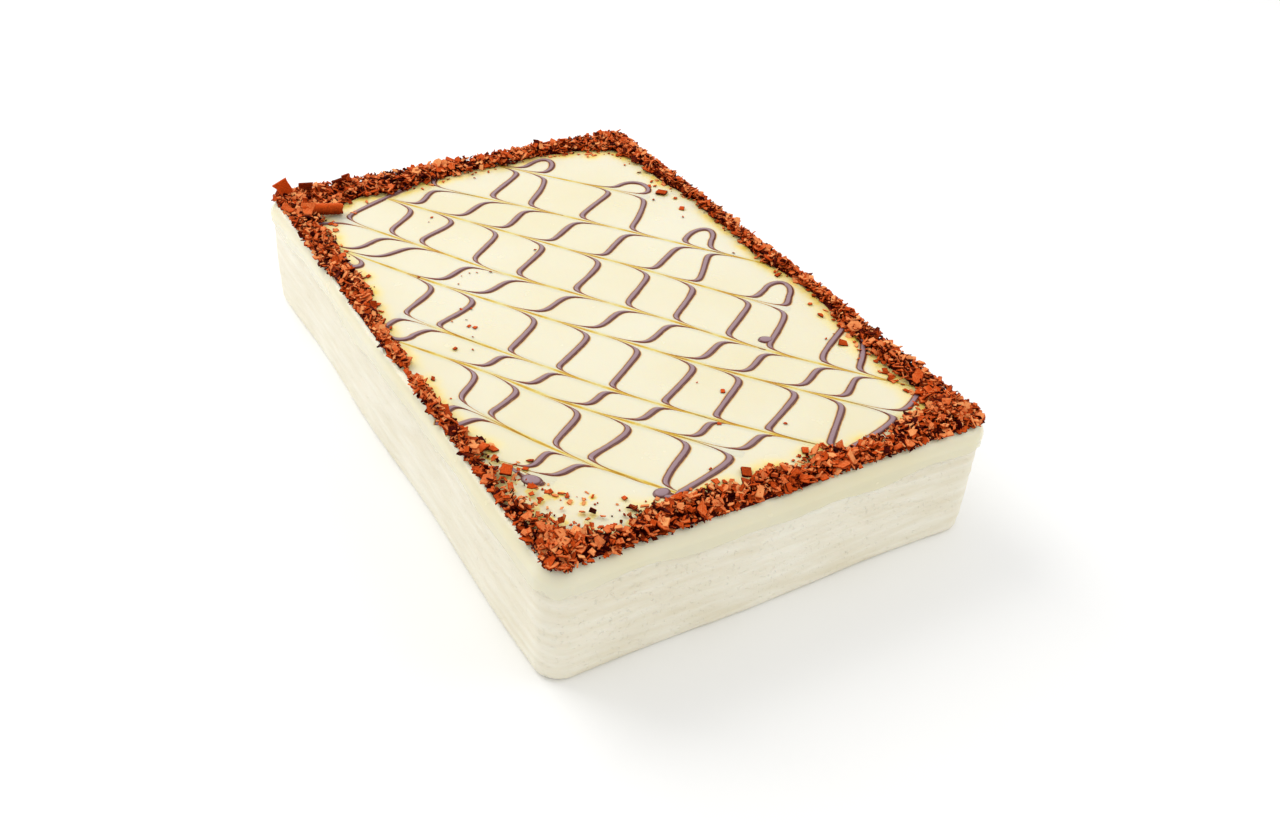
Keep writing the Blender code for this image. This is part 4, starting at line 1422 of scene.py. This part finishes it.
def paintedShadeFrom(flakes):
    # gives the function that tells how much painted shade and bounced light, yellow to golden, the
    # flakes cast on the icing at a place:
    # strongest at the foot of a flake and between crowded flakes, gone a little way off
    flakes = [flake for flake in flakes if flake[1].to_scale().x > paintedShading["leastLength"]]
    tree = kdtree.KDTree(len(flakes))
    for index, (mould, matrix, tone) in enumerate(flakes):
        tree.insert((matrix.translation.x, matrix.translation.y, 0), index)
    tree.balance()
    most, less = paintedShading["foot"]

    def paintedShadeAt(x, y):
        near = tree.find_n((x, y, 0), paintedShading["neighbours"])
        full = fullness(x, y)
        gap = min(away - paintedShading["flakeReach"] * flakes[index][1].to_scale().x
                  for place, index, away in near)
        crowd = sum(away for place, index, away in near) / len(near)
        return max((most - less * full) * fadeOut(*paintedShading["footFade"], gap),
                   paintedShading["crowd"] * full * fadeOut(*paintedShading["crowdFade"], crowd))

    return paintedShadeAt


# Large shavings at the far corner: five stand out of the heap, two lie flat beside the curl.
# Each has a place, width and height, its foot's share of the width, how far it bows, its lean,
# tip and heading, its tone, and its foot's height over the icing
shards = {
    "thickness": 0.0012,
    "rows": 10,
    "ragged": 0.0010,
    "slant": 0.075,
    "pieces": (
        {"place": (-0.1345, 0.2085), "width": 0.012, "height": 0.021, "foot": 0.45,
         "bow": 0.0022, "lean": -20, "tip": 12, "heading": -25, "tone": 0.42, "base": -0.0012},
        {"place": (-0.1238, 0.2105), "width": 0.010, "height": 0.013, "foot": 0.8,
         "bow": 0.0010, "lean": 8, "tip": 14, "heading": -18, "tone": 0.14, "base": 0.0008},
        {"place": (-0.0925, 0.2120), "width": 0.007, "height": 0.010, "foot": 0.5,
         "bow": 0.0008, "lean": 14, "tip": -8, "heading": 20, "tone": 0.20, "base": 0.0014},
        {"place": (-0.0975, 0.2110), "width": 0.009, "height": 0.009, "foot": 0.8,
         "bow": 0.0010, "lean": -8, "tip": 12, "heading": -12, "tone": 0.10, "base": 0.0014},
        {"place": (-0.0880, 0.2115), "width": 0.004, "height": 0.010, "foot": 0.4,
         "bow": 0.0006, "lean": -18, "tip": -4, "heading": 15, "tone": 0.30, "base": 0.0010},
        {"place": (-0.1350, 0.1700), "width": 0.010, "height": 0.011, "foot": 0.45,
         "bow": 0.0016, "lean": 6, "tip": -68, "heading": -24, "tone": 0.60, "base": 0.0086},
        {"place": (-0.1400, 0.1840), "width": 0.008, "height": 0.009, "foot": 0.5,
         "bow": 0.0010, "lean": 8, "tip": -70, "heading": 42, "tone": 0.56, "base": 0.0058},
    ),
}


def buildShards(material):
    whole = bmesh.new()
    for piece in shards["pieces"]:
        form = bmesh.new()
        bmesh.ops.create_grid(form, x_segments=4, y_segments=shards["rows"], size=1.0)
        tone, scrape = (form.verts.layers.float.new(label) for label in ("tone", "scrape"))
        for vert in form.verts:
            across, share = vert.co.x, (vert.co.y + 1) / 2
            half = piece["width"] / 2 * (piece["foot"] + (1 - piece["foot"]) * share)
            grain = Vector((across * 2, share * 3, piece["heading"]))
            ragged = shards["ragged"] * noise.noise(grain)
            vert[tone], vert[scrape] = piece["tone"], across * 9
            slanted = 1 - shards["slant"] + shards["slant"] * across
            vert.co = (half * across + ragged, piece["bow"] * math.sin(math.pi * share),
                       piece["height"] * share * slanted + ragged * share)
        bmesh.ops.recalc_face_normals(form, faces=form.faces)
        bmesh.ops.solidify(form, geom=form.faces[:], thickness=shards["thickness"])
        matrix = Matrix.Translation((*piece["place"], icingLevel + piece["base"]))
        for label, axis in (("heading", "Z"), ("lean", "Y"), ("tip", "X")):
            matrix = matrix @ Matrix.Rotation(math.radians(piece[label]), 4, axis)
        matrix = keptInside(matrix, [vert.co.copy() for vert in form.verts], heapTop)
        bmesh.ops.transform(form, matrix=matrix, verts=form.verts)
        addTo(whole, form)
    finishPiece(whole, "largeShavings", material, smoothAngle=35)


curl = {
    "length": 0.030,
    "radius": 0.0041,
    "sheet": 0.0012,
    "turns": 1.35,
    "around": 72,
    "rows": 40,
    "place": (-0.1220, 0.1775),
    "heading": math.radians(-9),
    "tilt": math.radians(5),
    "taper": 0.42,
    "endPinch": 0.12,
    "endRoom": 0.001,
    "ragged": 0.0007,
    "ribDepth": 0.00012,
    "ribs": 34,
    # tone: its middle, the swing of painted light and shade round the roll, lighter on top and
    # darker below, and how much painted shade darkens the inner turns
    "tone": (0.33, 0.24, 0.25),
    "bareFrom": 0.3,  # share of its half length behind its middle from which no flakes hide it
}


def buildCurl(material):
    form = bmesh.new()
    bmesh.ops.create_grid(form, x_segments=curl["rows"], y_segments=curl["around"], size=1.0)
    tone, scrape = (form.verts.layers.float.new(label) for label in ("tone", "scrape"))
    middle, swing, paintedInnerShade = curl["tone"]
    for vert in form.verts:
        share, length = (vert.co.y + 1) / 2, vert.co.x
        angle = -2 * math.pi * curl["turns"] * share
        radius = (curl["radius"] - curl["sheet"] / 2) * (1 - curl["taper"] * share)
        radius *= 1 - curl["endPinch"] * smoothStep(0.80, 1.0, abs(length)) ** 2
        ragged = curl["ragged"] * noise.noise(Vector((share * 9, length, 2.0)))
        shift = 3 * noise.noise(Vector((length * 4, share * 3, 0)))
        radius += curl["ribDepth"] * math.sin(length * curl["ribs"] + shift)
        vert[scrape] = length * 18
        # painted light and shade: lighter on the roll's top, darker below and on its inner turns
        inner = smoothStep(0.55, 0.9, share)
        vert[tone] = middle + swing * math.sin(angle + 0.5) - paintedInnerShade * inner
        vert.co = ((curl["length"] / 2 - curl["endRoom"]) * length + ragged * abs(length),
                   radius * math.cos(angle), radius * math.sin(angle))
    bmesh.ops.recalc_face_normals(form, faces=form.faces)
    bmesh.ops.solidify(form, geom=form.faces[:], thickness=curl["sheet"])
    low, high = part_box("chocolate_curl")
    centre = (*curl["place"], (low.z + high.z) / 2)
    turned = Matrix.Rotation(curl["heading"], 3, "Z") @ Matrix.Rotation(curl["tilt"], 3, "Y")
    bmesh.ops.rotate(form, verts=form.verts, matrix=turned)
    bmesh.ops.translate(form, verts=form.verts, vec=centre)
    finishPiece(form, "chocolateCurl", material, "chocolate_curl", smoothAngle=40)


photoView = {
    "lens": 35.16,
    "place": (-0.3575, -0.6122, 0.5068),
    "aim": (-0.0405, -0.1293, 0.0790),
    "roll": math.radians(4.6),
}
lighting = {
    "floor": (0.93, 0.93, 0.92, 1.0),
    "sky": 0.80,
    "key": {"place": (-0.7, 1.5, 1.5), "size": 1.6, "power": 26.0},
    "fill": {"place": (1.3, -0.7, 1.3), "size": 1.4, "power": 7.0},
}


def buildCamera():
    camera = bpy.data.objects.new("camera", bpy.data.cameras.new("camera"))
    bpy.context.scene.collection.objects.link(camera)
    camera.data.lens = photoView["lens"]
    camera.data.clip_start = 0.01
    forward = Vector(photoView["aim"]) - Vector(photoView["place"])
    turned = forward.to_track_quat("-Z", "Y").to_matrix().to_4x4()
    roll = Matrix.Rotation(photoView["roll"], 4, "Z")
    camera.matrix_world = Matrix.Translation(photoView["place"]) @ turned @ roll
    bpy.context.scene.camera = camera


def buildLight(name, place, size, power):
    light = bpy.data.objects.new(name, bpy.data.lights.new(name, "AREA"))
    light.data.shape = "SQUARE"
    light.data.size = size
    light.data.energy = power
    bpy.context.scene.collection.objects.link(light)
    light.location = place
    light.rotation_euler = (-Vector(place)).to_track_quat("-Z", "Y").to_euler()


def buildStage():
    form = bmesh.new()
    bmesh.ops.create_grid(form, x_segments=1, y_segments=1, size=6.0)
    mesh = bpy.data.meshes.new("floor")
    form.to_mesh(mesh)
    form.free()
    floor = bpy.data.objects.new("floor", mesh)
    bpy.context.scene.collection.objects.link(floor)
    mesh.materials.append(newFinish("paleFloor", Base_Color=lighting["floor"], Roughness=0.7)[0])
    world = bpy.data.worlds.new("paleRoom")
    world.use_nodes = True
    sky = {"Color": (1.0, 1.0, 1.0, 1.0), "Strength": lighting["sky"]}
    feed(world.node_tree, world.node_tree.nodes["Background"], sky)
    bpy.context.scene.world = world
    for name in ("key", "fill"):
        buildLight(name, **lighting[name])
    bpy.context.scene.view_settings.view_transform = "Standard"


def main():
    icingGroup, chocolateGroup = icingSkin(), chocolateSkin()
    flake = flakeFinish(chocolateGroup, "flakedChocolate")
    line = lineFinish()
    outer, inner = cakeRing(heap["outerInset"], 4), heapInnerRing(4)
    paintedShadeAt = paintedShadeFrom(buildBorder(flake, outer, inner))
    # the small bits under the flakes take the darkest tone, as painted shade in the gaps between
    # the flakes
    buildBed(flakeFinish(chocolateGroup, "brokenChocolateInPaintedShade", 0.0))
    buildShards(flake)
    buildIcing(icingFinish(icingGroup, "pouredIcing", ("paintedshade",)), paintedShadeAt)
    buildThreads(icingFinish(icingGroup, "smearedIcing", ("paintedshade", "smear")), paintedShadeAt)
    buildLines(line)
    buildDrops(line)
    buildCoat(creamFinish())
    buildCurl(flakeFinish(chocolateGroup, "curlChocolate"))
    buildStage()
    buildCamera()


main()
